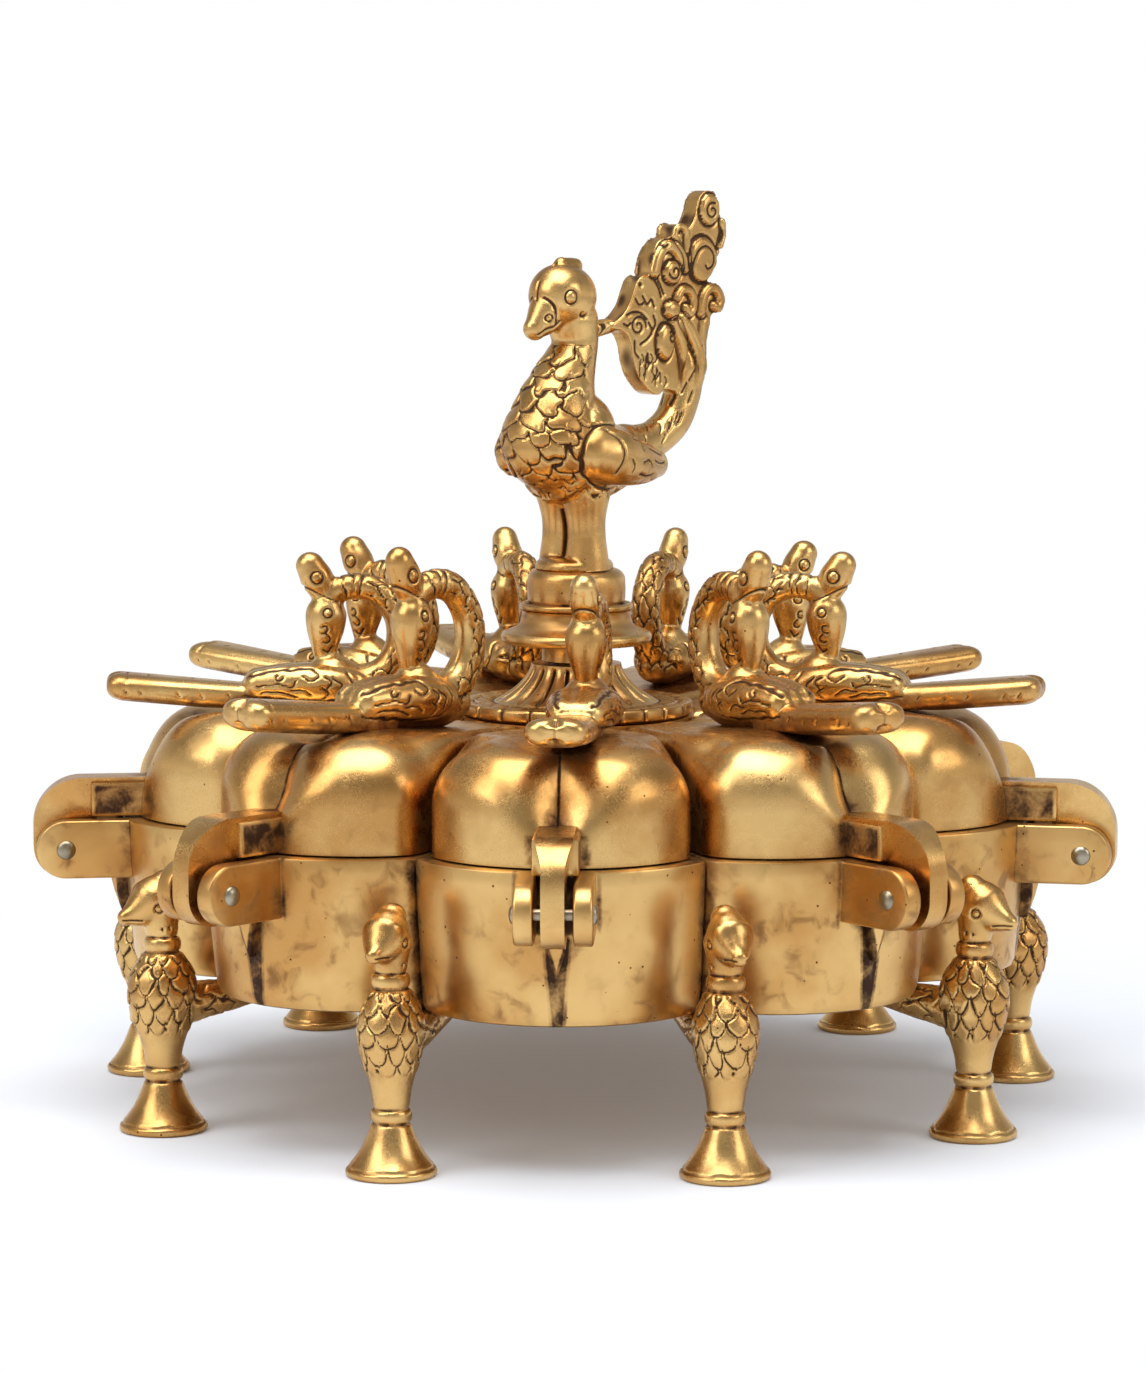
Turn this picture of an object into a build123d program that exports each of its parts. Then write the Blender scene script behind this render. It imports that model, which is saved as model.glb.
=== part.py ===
from build123d import *
import math
import os

# Cast brass box with a ring of petal cups, a hinged lid on each cup and a bird on each lid.
# All sizes are in millimetres. The box stands on z = 0, its middle is on the Z axis, and
# the first petal points towards -Y.
os.makedirs("parts", exist_ok=True)

# Petals
PETALS = 9
BOWL_RADIUS = 95.0            # axis to the outermost point of a petal
NOTCH_DEPTH = 12.3            # how far the notch between two petals lies inside that
BOWL_BOTTOM = 29.6            # underside of the cups above the table
RIM_HEIGHT = 60.0             # flat rim of the cups above the table
CUP_WALL = 4.4                # outer wall of a cup
CUP_SIDE_WALL = 2.4           # wall beside the neighbouring cup
CUP_FLOOR = 3.0
CUP_INNER_CORNER = 9.0
CUP_DRAFT = 2.4               # how much the petal's end is drawn in at the bottom
SEAM = 0.1                    # brazed seam between neighbouring castings

# Centre of the bowl
HUB_RADIUS = 23.6
HUB_WALL = 3.0
HUB_TOP_PLATE = 5.0
STUD_RADIUS = 4.0
STUD_FIT = 0.05
NUT_ACROSS_FLATS = 13.0
NUT_HEIGHT = 5.0
STUD_BELOW_NUT = 1.5

# Hinges
PIN_REACH = 12.0              # hinge pin outside the petal's end
PIN_HEIGHT = 53.9
PIN_RADIUS = 1.15
PIN_FIT = 0.02                # pin tight in the ears
KNUCKLE_CLEARANCE = 0.05      # lid knuckle free on the pin
PIN_HEAD_RADIUS = 1.9
PIN_HEAD_HEIGHT = 1.0
EAR_RADIUS = 6.0
EAR_THICKNESS = 3.4
EAR_GAP = 8.2                 # clear width between the two ears of a cup
ARM_WIDTH = 4.5               # plate that runs between the ears
KNUCKLE_RADIUS = 6.5
ARM_TOP = 14.4                # top of the arm above the pin
ARM_CURVE = 10.0              # radius of the arm's outer curve
ARM_BLOCK_WIDTH = 9.0
ARM_BLOCK_LENGTH = 11.0
SPUR_WIDTH = 4.0
SPUR_PROUD = 2.6
SPUR_HEIGHT = 9.0

# Lids
LID_GAP = 0.35                # lid edge above the rim
LID_INSET = 3.2               # lid outline inside the cup outline, at the petal's end
LID_SIDE_GAP = 1.0            # lid side to the middle of the seam
LID_TIP_CLEARANCE = 0.6       # lid tip outside the flange of the bell
LID_WALL = 2.2
LID_HEIGHT = 22.4             # at the highest point, above the lid's edge
LID_CORNER = 12.0
LID_CREST = 65.0              # the top slopes down from here towards the axis
LID_TIP_DROP = 2.9            # how much lower the top is at the tip
LID_SHOULDER = 13.0           # rounding at the petal's end
LID_FLANK = 10.0              # rounding of the widest part, seen from the end
LID_FLANK_TRIM = 0.7          # taken off the widest part at each flank
CREASE_RADIUS = 26.0
CREASE_DEPTH = 2.6
CREASE_WIDTH = 20.0
CREASE_FLANK = 1.6            # fall of the crease wheel's flanks, in crease depths

# Bell and pedestal
SEAT_GAP = 0.3                # parts that come apart
FLANGE_RADIUS = 24.4
FLANGE_THICKNESS = 2.8
SKIRT_FOOT_RADIUS = 17.0
SKIRT_WAIST_RADIUS = 9.4
SKIRT_HEIGHT = 7.8
SKIRT_HOLLOW = 1.6            # how far the skirt's side is drawn in
NECK_RADIUS = 7.2
NECK_HEIGHT = 3.9
DISC_RADIUS = 15.8
DISC_HEIGHT = 3.2
LOWER_DRUM_RADIUS = 11.8
LOWER_DRUM_HEIGHT = 5.3
UPPER_DRUM_RADIUS = 10.3
UPPER_DRUM_HEIGHT = 7.2
DRUM_EDGE = 1.2
STUD_ENGAGEMENT = 13.0        # stud inside the pedestal
STUD_END_ROOM = 1.0

# Legs
LEG_STANDOFF = 11.6           # middle of a leg outside the notch
FOOT_RADIUS = 9.0
FOOT_EDGE = 1.6
FOOT_HEIGHT = 11.0
FOOT_FLARE = (0.58, 0.56)     # middle of the foot's curve, as shares of its radius and height
ANKLE_RADIUS = 4.3
ANKLE_HEIGHT = 3.0
WAIST_RADIUS = 3.7
LEG_BODY_RADIUS = 6.5
LEG_BODY_MIDDLE = 28.0
LEG_NECK_HEIGHT = 40.0
LEG_COLLAR_HEIGHT = 2.2
LEG_HEAD_RADIUS = 4.6
LEG_HEAD_BACK = 4.6           # back of the head, behind the leg's middle
LEG_HEAD_BACK_HEIGHT = 50.0
LEG_BEAK_REACH = 9.7          # beak tip, in front of the leg's middle
LEG_BEAK_HEIGHT = 45.8
LEG_HEAD_SHAPE = (0.4, 0.2)   # thickest place, as a share of the length, and bluntness
LEG_ARM_REACH = 61.0          # inner end of the arm under the bowl, from the axis
LEG_ARM_RADIUS = 4.4
LEG_ARM_END_RADIUS = 1.5
LEG_ARM_FLAT = 0.5            # flat on the arm's top, where it is brazed to the cups

# Birds on the lids; heights are above the highest part of the lid
BIRD_RING_CENTRE = 45.3
BIRD_RING_ABOVE = 15.2
BIRD_RING_RADIUS = 10.6
BIRD_NECK_RADIUS = 3.3
BIRD_NECK_START = 290.0       # degrees round the ring, from the outward side
BIRD_NECK_TURN = 240.0
BIRD_BODY_FRONT = 36.5
BIRD_BODY_LENGTH = 35.0
BIRD_BODY_RADIUS = 5.2
BIRD_BODY_ABOVE = 2.6
BIRD_WING_FRONT = 47.0
BIRD_WING_LENGTH = 24.5
BIRD_WING_RADIUS = 3.9
BIRD_WING_SPREAD = 4.0
BIRD_WING_ABOVE = 3.6
BIRD_WING_PITCH = 3.0
BIRD_TAIL_ROOT = 62.0
BIRD_TAIL_OVERHANG = 3.2      # tail tip outside the petal's end
BIRD_TAIL_ROOT_WIDTH = 8.4
BIRD_TAIL_WIDTH = 12.2
BIRD_TAIL_THICKNESS = 5.2
BIRD_TAIL_CLEFT = 1.8
BIRD_TAIL_EDGE = 1.6
BIRD_HEAD_AT = 52.6
BIRD_HEAD_RADIUS = 4.2
BIRD_HEAD_LENGTH = 16.5
BIRD_HEAD_SHAPE = (0.36, 0.2)
BIRD_BEAK_AT = 0.75           # share of the head's length above the beak
BIRD_BEAK_RADIUS = 1.6
BIRD_BEAK_FOOT_RADIUS = 2.2
BIRD_CREST_LENGTH = 10.4
BIRD_CREST_RADIUS = 3.1
BIRD_CREST_OVERLAP = 1.0      # foot of the crest inside the head
BIRD_CREST_LEAN = 63.0
FEATHER_BLUNT = 0.42          # thickest place of a body or wing, as a share of its length

# Peacock; its beak looks along +X before it is turned, heights are above the pedestal
PEACOCK_YAW = 225.0           # direction of the beak, degrees from +X
PEACOCK_LEG_RADIUS = 4.2
PEACOCK_LEG_SPREAD = 3.7
PEACOCK_FOOT_RADIUS = 8.6
PEACOCK_FOOT_HEIGHT = 2.2
PEACOCK_BODY_FRONT = 17.5
PEACOCK_BODY_LENGTH = 40.0
PEACOCK_BODY_RADIUS = 13.2
PEACOCK_BODY_ABOVE = 27.0
PEACOCK_BODY_PITCH = 7.0
PEACOCK_NECK_RADIUS = 4.5
PEACOCK_NECK_FOOT_RADIUS = 10.0
PEACOCK_NECK_FOOT = (6.0, 32.5)
PEACOCK_NECK_WAIST = (5.6, 0.42)  # radius part of the way up, and the share of the way
PEACOCK_HEAD = (3.4, 56.2)
PEACOCK_HEAD_RADIUS = 7.2
PEACOCK_CREST_RADIUS = 2.8
PEACOCK_CREST_SINK = 0.8      # middle of the crest inside the head
PEACOCK_BEAK_TIP = (12.8, 49.0)
PEACOCK_BEAK_RADIUS = 3.4
PEACOCK_WING_FRONT = (10.0, 31.0)
PEACOCK_WING_LENGTH = 31.0
PEACOCK_WING_RADIUS = 6.8
PEACOCK_WING_SPREAD = 8.8
PEACOCK_WING_PITCH = 17.0
STEM_CENTRE = (-18.0, 38.9)
STEM_CURVE = 13.3
STEM_START = 270.0            # degrees round the curve
STEM_TURN = 92.0
STEM_RADIUS = 4.1
FAN_THICKNESS = 4.6
FAN_JUNCTIONS = [             # (x, height, bulge of the edge that follows)
    (-26.1, 38.6, -0.25),
    (-14.0, 42.5, -0.12),
    (-8.9, 51.2, 0.10),
    (-14.8, 60.1, -0.16),
    (-20.0, 67.7, -0.18),
    (-27.6, 73.0, -0.2),
    (-33.9, 76.0, -0.45),
    (-42.0, 73.9, -0.2),
    (-42.5, 65.9, -0.12),
    (-38.3, 59.8, -0.45),
    (-39.8, 53.2, -0.16),
    (-36.2, 42.7, 0.0),
    (-36.2, 38.3, 0.0),
]

ROUND = 0.55                  # handle of a Bezier curve that turns a quarter
STEP_ANGLE = 360.0 / PETALS
HALF_ANGLE = STEP_ANGLE / 2.0
SLOPE = math.tan(math.radians(HALF_ANGLE))
NOTCH_RADIUS = BOWL_RADIUS - NOTCH_DEPTH
PIN_CIRCLE = BOWL_RADIUS + PIN_REACH
LEG_CIRCLE = NOTCH_RADIUS + LEG_STANDOFF
BIRD_TAIL_TIP = BOWL_RADIUS + BIRD_TAIL_OVERHANG


def lobe_centre():
    """Centre of the round end of a petal, on its middle line."""
    along = NOTCH_RADIUS * math.cos(math.radians(HALF_ANGLE))
    side = NOTCH_RADIUS * math.sin(math.radians(HALF_ANGLE))
    return (BOWL_RADIUS**2 - along**2 - side**2) / (2.0 * (BOWL_RADIUS - along))


LOBE_CENTRE = lobe_centre()
LOBE_RADIUS = BOWL_RADIUS - LOBE_CENTRE
LID_EDGE_HEIGHT = RIM_HEIGHT + LID_GAP
LID_TOP = LID_EDGE_HEIGHT + LID_HEIGHT
LID_TIP_RADIUS = FLANGE_RADIUS + LID_TIP_CLEARANCE
LID_END = BOWL_RADIUS - LID_INSET
FLANGE_BOTTOM = LID_TOP - LID_TIP_DROP
HUB_TOP = FLANGE_BOTTOM - SEAT_GAP
SKIRT_BOTTOM = FLANGE_BOTTOM + FLANGE_THICKNESS
BELL_TOP = SKIRT_BOTTOM + SKIRT_HEIGHT
PEDESTAL_BOTTOM = BELL_TOP + SEAT_GAP
DISC_BOTTOM = PEDESTAL_BOTTOM + NECK_HEIGHT
LOWER_DRUM_BOTTOM = DISC_BOTTOM + DISC_HEIGHT
UPPER_DRUM_BOTTOM = LOWER_DRUM_BOTTOM + LOWER_DRUM_HEIGHT
PEDESTAL_TOP = UPPER_DRUM_BOTTOM + UPPER_DRUM_HEIGHT
STUD_TOP = PEDESTAL_BOTTOM + STUD_ENGAGEMENT


def petal_angle(index):
    """Direction of a petal in degrees from +X; the first points to -Y."""
    return -90.0 + index * STEP_ANGLE


def save(shape, name):
    export_step(shape, f"parts/{name}.step")


def line_meets_circle(offset, centre, radius):
    """Where the line at a set distance inside the seam meets a circle on the middle line."""
    drop = offset / math.cos(math.radians(HALF_ANGLE))
    a = 1.0 + SLOPE**2
    b = centre + SLOPE * drop
    c = centre**2 + drop**2 - radius**2
    along = (b + math.sqrt(b**2 - a * c)) / a
    return along, SLOPE * along - drop


def petal_outline(side_gap, end_inset, inner_radius, corner=0.0):
    """Plan of a petal: inner arc, two straight sides and a round end."""
    round_end = LOBE_RADIUS - end_inset
    x_in, y_in = line_meets_circle(side_gap, 0.0, inner_radius)
    x_out, y_out = line_meets_circle(side_gap, LOBE_CENTRE, round_end)
    edges = [
        ThreePointArc((x_in, -y_in), (inner_radius, 0), (x_in, y_in)),
        Line((x_in, y_in), (x_out, y_out)),
        ThreePointArc((x_out, y_out), (LOBE_CENTRE + round_end, 0), (x_out, -y_out)),
        Line((x_out, -y_out), (x_in, -y_in)),
    ]
    face = make_face(edges)
    if corner:
        outer = face.vertices().filter_by_position(Axis.X, x_out - 1e-3, x_out + 1e-3)
        face = fillet(outer, corner)
    return face


def upright(profile, width):
    """Extrude a profile drawn in the plane of the petal's middle line, evenly to both sides."""
    return extrude(Plane.XZ * profile, width / 2.0, both=True)


def petal_cup():
    """Open cup with its two hinge ears and the cast spur below them."""
    height = RIM_HEIGHT - BOWL_BOTTOM
    bottom = petal_outline(SEAM / 2.0, CUP_DRAFT, HUB_RADIUS + SEAM)
    rim = petal_outline(SEAM / 2.0, 0.0, HUB_RADIUS + SEAM)
    inner = petal_outline(
        CUP_SIDE_WALL, CUP_WALL, HUB_RADIUS + SEAM + HUB_WALL, CUP_INNER_CORNER
    )
    body = loft([Pos(0, 0, BOWL_BOTTOM) * bottom, Pos(0, 0, RIM_HEIGHT) * rim], ruled=True)
    hollow = Pos(0, 0, BOWL_BOTTOM + CUP_FLOOR) * extrude(inner, height)
    root = BOWL_RADIUS - CUP_WALL / 2.0
    ear_length = PIN_CIRCLE - root
    ear_middle = (EAR_GAP + EAR_THICKNESS) / 2.0
    plate = Pos(root + ear_length / 2.0, PIN_HEIGHT) * Rectangle(ear_length, 2.0 * EAR_RADIUS)
    plate += Pos(PIN_CIRCLE, PIN_HEIGHT) * Circle(EAR_RADIUS)
    ear = upright(plate, EAR_THICKNESS)
    ears = Pos(0, ear_middle, 0) * ear + Pos(0, -ear_middle, 0) * ear
    spur_top = PIN_HEIGHT - EAR_RADIUS
    spur = upright(
        Polygon(
            (root, spur_top),
            (BOWL_RADIUS + SPUR_PROUD, spur_top),
            (BOWL_RADIUS, spur_top - SPUR_HEIGHT),
            (root, spur_top - SPUR_HEIGHT),
            align=None,
        ),
        SPUR_WIDTH,
    )
    bore = Pos(PIN_CIRCLE, 0, PIN_HEIGHT) * Rot(90, 0, 0) * Cylinder(
        PIN_RADIUS + PIN_FIT, EAR_GAP + 4.0 * EAR_THICKNESS
    )
    return body - hollow + ears + spur - bore


def side_profile(inset):
    """Lid seen from the side: sloping top and the big shoulder at the petal's end."""
    top = LID_TOP - inset
    end = LID_END - inset
    shoulder = LID_SHOULDER - inset
    tip = LID_TIP_RADIUS + inset
    low = LID_EDGE_HEIGHT - LID_HEIGHT
    fall = LID_TIP_DROP / (LID_CREST - LID_TIP_RADIUS)
    bend = shoulder * math.sin(math.radians(45.0))
    edges = [
        Line((tip, low), (tip, top - fall * (LID_CREST - tip))),
        Line((tip, top - fall * (LID_CREST - tip)), (LID_CREST, top)),
        Line((LID_CREST, top), (end - shoulder, top)),
        ThreePointArc(
            (end - shoulder, top),
            (end - shoulder + bend, top - shoulder + bend),
            (end, top - shoulder),
        ),
        Line((end, top - shoulder), (end, low)),
        Line((end, low), (tip, low)),
    ]
    return upright(make_face(edges), 2.0 * BOWL_RADIUS)


def end_profile(inset):
    """Lid seen from the petal's end: round flanks at its widest part."""
    half = line_meets_circle(LID_SIDE_GAP, LOBE_CENTRE, LOBE_RADIUS - LID_INSET)[1]
    half -= LID_FLANK_TRIM + inset
    height = 2.0 * LID_HEIGHT
    sheet = Pos(0, LID_TOP - inset - height / 2.0) * Rectangle(2.0 * half, height)
    top = sheet.vertices().group_by(Axis.Y)[-1]
    return extrude(Plane.YZ * fillet(top, LID_FLANK - inset), BOWL_RADIUS)


def lid_dome(inset):
    """Closed dome of the lid, or with an inset the hollow inside it."""
    plan = petal_outline(
        LID_SIDE_GAP + inset, LID_INSET + inset, LID_TIP_RADIUS + inset, LID_CORNER - inset
    )
    block = extrude(plan, LID_TOP + LID_HEIGHT)
    dome = block & side_profile(inset) & end_profile(inset)
    floor = LID_EDGE_HEIGHT if inset == 0.0 else LID_EDGE_HEIGHT - LID_WALL
    return dome - Box(4.0 * BOWL_RADIUS, 4.0 * BOWL_RADIUS, 2.0 * floor)


def crease():
    """Wheel with a sharp rim that leaves the crease down the petal's end of the lid."""
    reach = LID_SHOULDER + CREASE_RADIUS - CREASE_DEPTH
    lean = math.radians(45.0)
    x = LID_END - LID_SHOULDER + reach * math.cos(lean)
    z = LID_TOP - LID_SHOULDER + reach * math.sin(lean)
    rim = Polygon(
        (0, CREASE_RADIUS),
        (CREASE_WIDTH / 2.0, CREASE_RADIUS - CREASE_FLANK * CREASE_DEPTH),
        (CREASE_WIDTH / 2.0, 0),
        (-CREASE_WIDTH / 2.0, 0),
        (-CREASE_WIDTH / 2.0, CREASE_RADIUS - CREASE_FLANK * CREASE_DEPTH),
        align=None,
    )
    wheel = revolve(rim, Axis.X)
    return Pos(x, 0, z) * Rot(0, 0, 90) * wheel


def lid_arm():
    """Block on the lid's edge and the curved plate that ends in the hinge knuckle."""
    top = PIN_HEIGHT + ARM_TOP
    root = LID_END - LID_WALL / 2.0
    curve_x = PIN_CIRCLE + KNUCKLE_RADIUS - ARM_CURVE
    curve_z = top - ARM_CURVE
    bend = ARM_CURVE * math.sin(math.radians(45.0))
    back = PIN_CIRCLE - KNUCKLE_RADIUS
    edges = [
        Line((root, LID_EDGE_HEIGHT), (root, top)),
        Line((root, top), (curve_x, top)),
        ThreePointArc((curve_x, top), (curve_x + bend, curve_z + bend),
                      (curve_x + ARM_CURVE, curve_z)),
        Line((curve_x + ARM_CURVE, curve_z), (curve_x + ARM_CURVE, PIN_HEIGHT)),
        ThreePointArc((curve_x + ARM_CURVE, PIN_HEIGHT),
                      (PIN_CIRCLE, PIN_HEIGHT - KNUCKLE_RADIUS), (back, PIN_HEIGHT)),
        Line((back, PIN_HEIGHT), (back, LID_EDGE_HEIGHT)),
        Line((back, LID_EDGE_HEIGHT), (root, LID_EDGE_HEIGHT)),
    ]
    plate = upright(make_face(edges), ARM_WIDTH)
    height = top - LID_EDGE_HEIGHT
    length = LID_WALL / 2.0 + ARM_BLOCK_LENGTH
    block = Pos(root + length / 2.0, 0, LID_EDGE_HEIGHT + height / 2.0) * Box(
        length, ARM_BLOCK_WIDTH, height
    )
    bore = Pos(PIN_CIRCLE, 0, PIN_HEIGHT) * Rot(90, 0, 0) * Cylinder(
        PIN_RADIUS + KNUCKLE_CLEARANCE, 2.0 * ARM_WIDTH
    )
    return plate + block - bore


def lid():
    """Hollow lid with its arm."""
    shell = lid_dome(0.0) - crease() + lid_arm()
    hollow = lid_dome(LID_WALL) - crease_back()
    return shell - hollow


def crease_back():
    """The same wheel, moved in by the wall, so that the wall stays whole under the crease."""
    shift = LID_WALL * math.sin(math.radians(45.0))
    return Pos(-shift, 0, -shift) * crease()


def spindle(length, radius, blunt=0.5, point=ROUND):
    """Egg or teardrop along +X from the origin; a low value of point sharpens its far end."""
    middle = length * blunt
    edges = [
        Bezier((0, 0), (0, radius * ROUND), (middle * (1.0 - ROUND), radius), (middle, radius)),
        Bezier((middle, radius), (middle + (length - middle) * ROUND, radius),
               (length, radius * point), (length, 0)),
        Line((length, 0), (0, 0)),
    ]
    return revolve(make_face(edges), Axis.X)


def tube_arc(radius, tube, start, turn):
    """Round bar bent in the upright plane, clockwise from the start, seen with +X right."""
    bar = revolve(Pos(radius, 0, 0) * Circle(tube), Axis.Y, turn)
    return Rot(0, -start, 0) * bar


def between(first, second, radius, blunt=0.5, point=ROUND):
    """Spindle in the upright plane from one point (x, z) to another."""
    run = second[0] - first[0]
    rise = second[1] - first[1]
    body = spindle(math.hypot(run, rise), radius, blunt, point)
    return Pos(first[0], 0, first[1]) * Rot(0, -math.degrees(math.atan2(rise, run)), 0) * body


def bird_tail():
    """Flat bar with two rounded tips and a cleft between them."""
    length = BIRD_TAIL_TIP - BIRD_TAIL_ROOT
    half = BIRD_TAIL_WIDTH / 2.0
    root = BIRD_TAIL_ROOT_WIDTH / 2.0
    start = length - half / 2.0
    cleft = (length - BIRD_TAIL_CLEFT, 0)
    edges = [
        Line((0, -root), (start, -half)),
        ThreePointArc((start, -half), (length, -half / 2.0), cleft),
        ThreePointArc(cleft, (length, half / 2.0), (start, half)),
        Line((start, half), (0, root)),
        Line((0, root), (0, -root)),
    ]
    bar = extrude(make_face(edges), BIRD_TAIL_THICKNESS)
    rims = bar.edges().filter_by(GeomType.LINE).filter_by(Axis.Z, reverse=True)
    rims = rims.filter_by(Axis.Y, reverse=True)
    return Pos(BIRD_TAIL_ROOT, 0, LID_TOP) * chamfer(rims, BIRD_TAIL_EDGE)


def lid_bird():
    """Bird of one lid: body, wings, tail, ring neck, hanging head and crest."""
    ring_z = LID_TOP + BIRD_RING_ABOVE
    neck = Pos(BIRD_RING_CENTRE, 0, ring_z) * tube_arc(
        BIRD_RING_RADIUS, BIRD_NECK_RADIUS, BIRD_NECK_START, BIRD_NECK_TURN
    )
    end = math.radians(BIRD_NECK_START - BIRD_NECK_TURN)
    top = (BIRD_HEAD_AT, ring_z + BIRD_RING_RADIUS * math.sin(end))
    head = between(top, (top[0], top[1] - BIRD_HEAD_LENGTH), BIRD_HEAD_RADIUS, *BIRD_HEAD_SHAPE)
    beak_foot = LID_TOP + BIRD_BODY_ABOVE
    beak_length = top[1] - BIRD_HEAD_LENGTH * BIRD_BEAK_AT - beak_foot
    beak = Pos(BIRD_HEAD_AT, 0, beak_foot + beak_length / 2.0) * Cone(
        BIRD_BEAK_FOOT_RADIUS, BIRD_BEAK_RADIUS, beak_length
    )
    lean = math.radians(BIRD_CREST_LEAN)
    crest_foot, crest_end = (
        (top[0] + along * math.cos(lean), top[1] + along * math.sin(lean))
        for along in (-BIRD_CREST_OVERLAP, BIRD_CREST_LENGTH)
    )
    crest = between(crest_foot, crest_end, BIRD_CREST_RADIUS)
    body = Pos(BIRD_BODY_FRONT, 0, LID_TOP + BIRD_BODY_ABOVE) * spindle(
        BIRD_BODY_LENGTH, BIRD_BODY_RADIUS, FEATHER_BLUNT
    )
    wing = Rot(0, BIRD_WING_PITCH, 0) * spindle(
        BIRD_WING_LENGTH, BIRD_WING_RADIUS, FEATHER_BLUNT
    )
    height = LID_TOP + BIRD_WING_ABOVE
    wings = Pos(BIRD_WING_FRONT, BIRD_WING_SPREAD, height) * wing
    wings += Pos(BIRD_WING_FRONT, -BIRD_WING_SPREAD, height) * wing
    bird = body + wings + bird_tail() + neck + head + beak + crest
    return bird - side_profile(0.0)


def leg():
    """Leg as a standing bird: foot, ankle, body, collar, head and the arm under the bowl."""
    ankle_top = FOOT_HEIGHT + ANKLE_HEIGHT
    collar_top = LEG_NECK_HEIGHT + LEG_COLLAR_HEIGHT
    edges = [
        Line((0, 0), (FOOT_RADIUS - FOOT_EDGE / 2.0, 0)),
        Line((FOOT_RADIUS - FOOT_EDGE / 2.0, 0), (FOOT_RADIUS, FOOT_EDGE)),
        ThreePointArc((FOOT_RADIUS, FOOT_EDGE),
                      (FOOT_RADIUS * FOOT_FLARE[0], FOOT_HEIGHT * FOOT_FLARE[1]),
                      (WAIST_RADIUS, FOOT_HEIGHT)),
        ThreePointArc((WAIST_RADIUS, FOOT_HEIGHT),
                      (ANKLE_RADIUS, FOOT_HEIGHT + ANKLE_HEIGHT / 2.0),
                      (WAIST_RADIUS, ankle_top)),
        ThreePointArc((WAIST_RADIUS, ankle_top), (LEG_BODY_RADIUS, LEG_BODY_MIDDLE),
                      (WAIST_RADIUS, LEG_NECK_HEIGHT)),
        ThreePointArc((WAIST_RADIUS, LEG_NECK_HEIGHT),
                      (ANKLE_RADIUS, LEG_NECK_HEIGHT + LEG_COLLAR_HEIGHT / 2.0),
                      (WAIST_RADIUS, collar_top)),
        Line((WAIST_RADIUS, collar_top), (WAIST_RADIUS, LEG_BEAK_HEIGHT)),
        Line((WAIST_RADIUS, LEG_BEAK_HEIGHT), (0, LEG_BEAK_HEIGHT)),
        Line((0, LEG_BEAK_HEIGHT), (0, 0)),
    ]
    post = Pos(LEG_CIRCLE, 0, 0) * revolve(Plane.XZ * make_face(edges), Axis.Z)
    head = between((LEG_CIRCLE - LEG_HEAD_BACK, LEG_HEAD_BACK_HEIGHT),
                   (LEG_CIRCLE + LEG_BEAK_REACH, LEG_BEAK_HEIGHT), LEG_HEAD_RADIUS,
                   *LEG_HEAD_SHAPE)
    root = Plane.YZ.offset(LEG_CIRCLE) * Pos(0, BOWL_BOTTOM + LEG_ARM_FLAT - LEG_ARM_RADIUS) * (
        Circle(LEG_ARM_RADIUS)
    )
    end = Plane.YZ.offset(LEG_ARM_REACH) * Pos(
        0, BOWL_BOTTOM + LEG_ARM_FLAT - LEG_ARM_END_RADIUS
    ) * Circle(LEG_ARM_END_RADIUS)
    arm = loft([end, root], ruled=True)
    above = Pos(LEG_CIRCLE - LEG_BODY_RADIUS - BOWL_RADIUS, 0, BOWL_BOTTOM + BOWL_RADIUS) * Box(
        2.0 * BOWL_RADIUS, BOWL_RADIUS, 2.0 * BOWL_RADIUS
    )
    return post + head + (arm - above)


def bell():
    """Flange that lies over the lid tips and the fluted skirt on it."""
    middle = ((SKIRT_FOOT_RADIUS + SKIRT_WAIST_RADIUS) / 2.0 - SKIRT_HOLLOW,
              SKIRT_BOTTOM + SKIRT_HEIGHT / 2.0)
    bore = STUD_RADIUS + STUD_FIT
    edges = [
        Line((bore, FLANGE_BOTTOM), (FLANGE_RADIUS, FLANGE_BOTTOM)),
        Line((FLANGE_RADIUS, FLANGE_BOTTOM), (FLANGE_RADIUS, SKIRT_BOTTOM)),
        Line((FLANGE_RADIUS, SKIRT_BOTTOM), (SKIRT_FOOT_RADIUS, SKIRT_BOTTOM)),
        ThreePointArc((SKIRT_FOOT_RADIUS, SKIRT_BOTTOM), middle, (SKIRT_WAIST_RADIUS, BELL_TOP)),
        Line((SKIRT_WAIST_RADIUS, BELL_TOP), (bore, BELL_TOP)),
        Line((bore, BELL_TOP), (bore, FLANGE_BOTTOM)),
    ]
    return revolve(Plane.XZ * make_face(edges), Axis.Z)


def pedestal():
    """Neck, disc and two drums, with the blind bore for the stud."""
    corners = [
        (0, PEDESTAL_BOTTOM),
        (NECK_RADIUS, PEDESTAL_BOTTOM),
        (NECK_RADIUS, DISC_BOTTOM),
        (DISC_RADIUS, DISC_BOTTOM),
        (DISC_RADIUS, LOWER_DRUM_BOTTOM),
        (LOWER_DRUM_RADIUS, LOWER_DRUM_BOTTOM),
        (LOWER_DRUM_RADIUS, UPPER_DRUM_BOTTOM),
        (UPPER_DRUM_RADIUS, UPPER_DRUM_BOTTOM),
        (UPPER_DRUM_RADIUS, PEDESTAL_TOP),
        (0, PEDESTAL_TOP),
    ]
    profile = Polygon(*corners, align=None)
    rounded = (corners[3], corners[4], corners[6], corners[8])
    rims = [v for v in profile.vertices() if any(
        math.dist((v.X, v.Y), corner) < DRUM_EDGE / 10.0 for corner in rounded)]
    solid = revolve(Plane.XZ * fillet(rims, DRUM_EDGE), Axis.Z)
    depth = STUD_ENGAGEMENT + STUD_END_ROOM
    bore = Pos(0, 0, PEDESTAL_BOTTOM + depth / 2.0) * Cylinder(STUD_RADIUS + STUD_FIT, depth)
    return solid - bore


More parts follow.
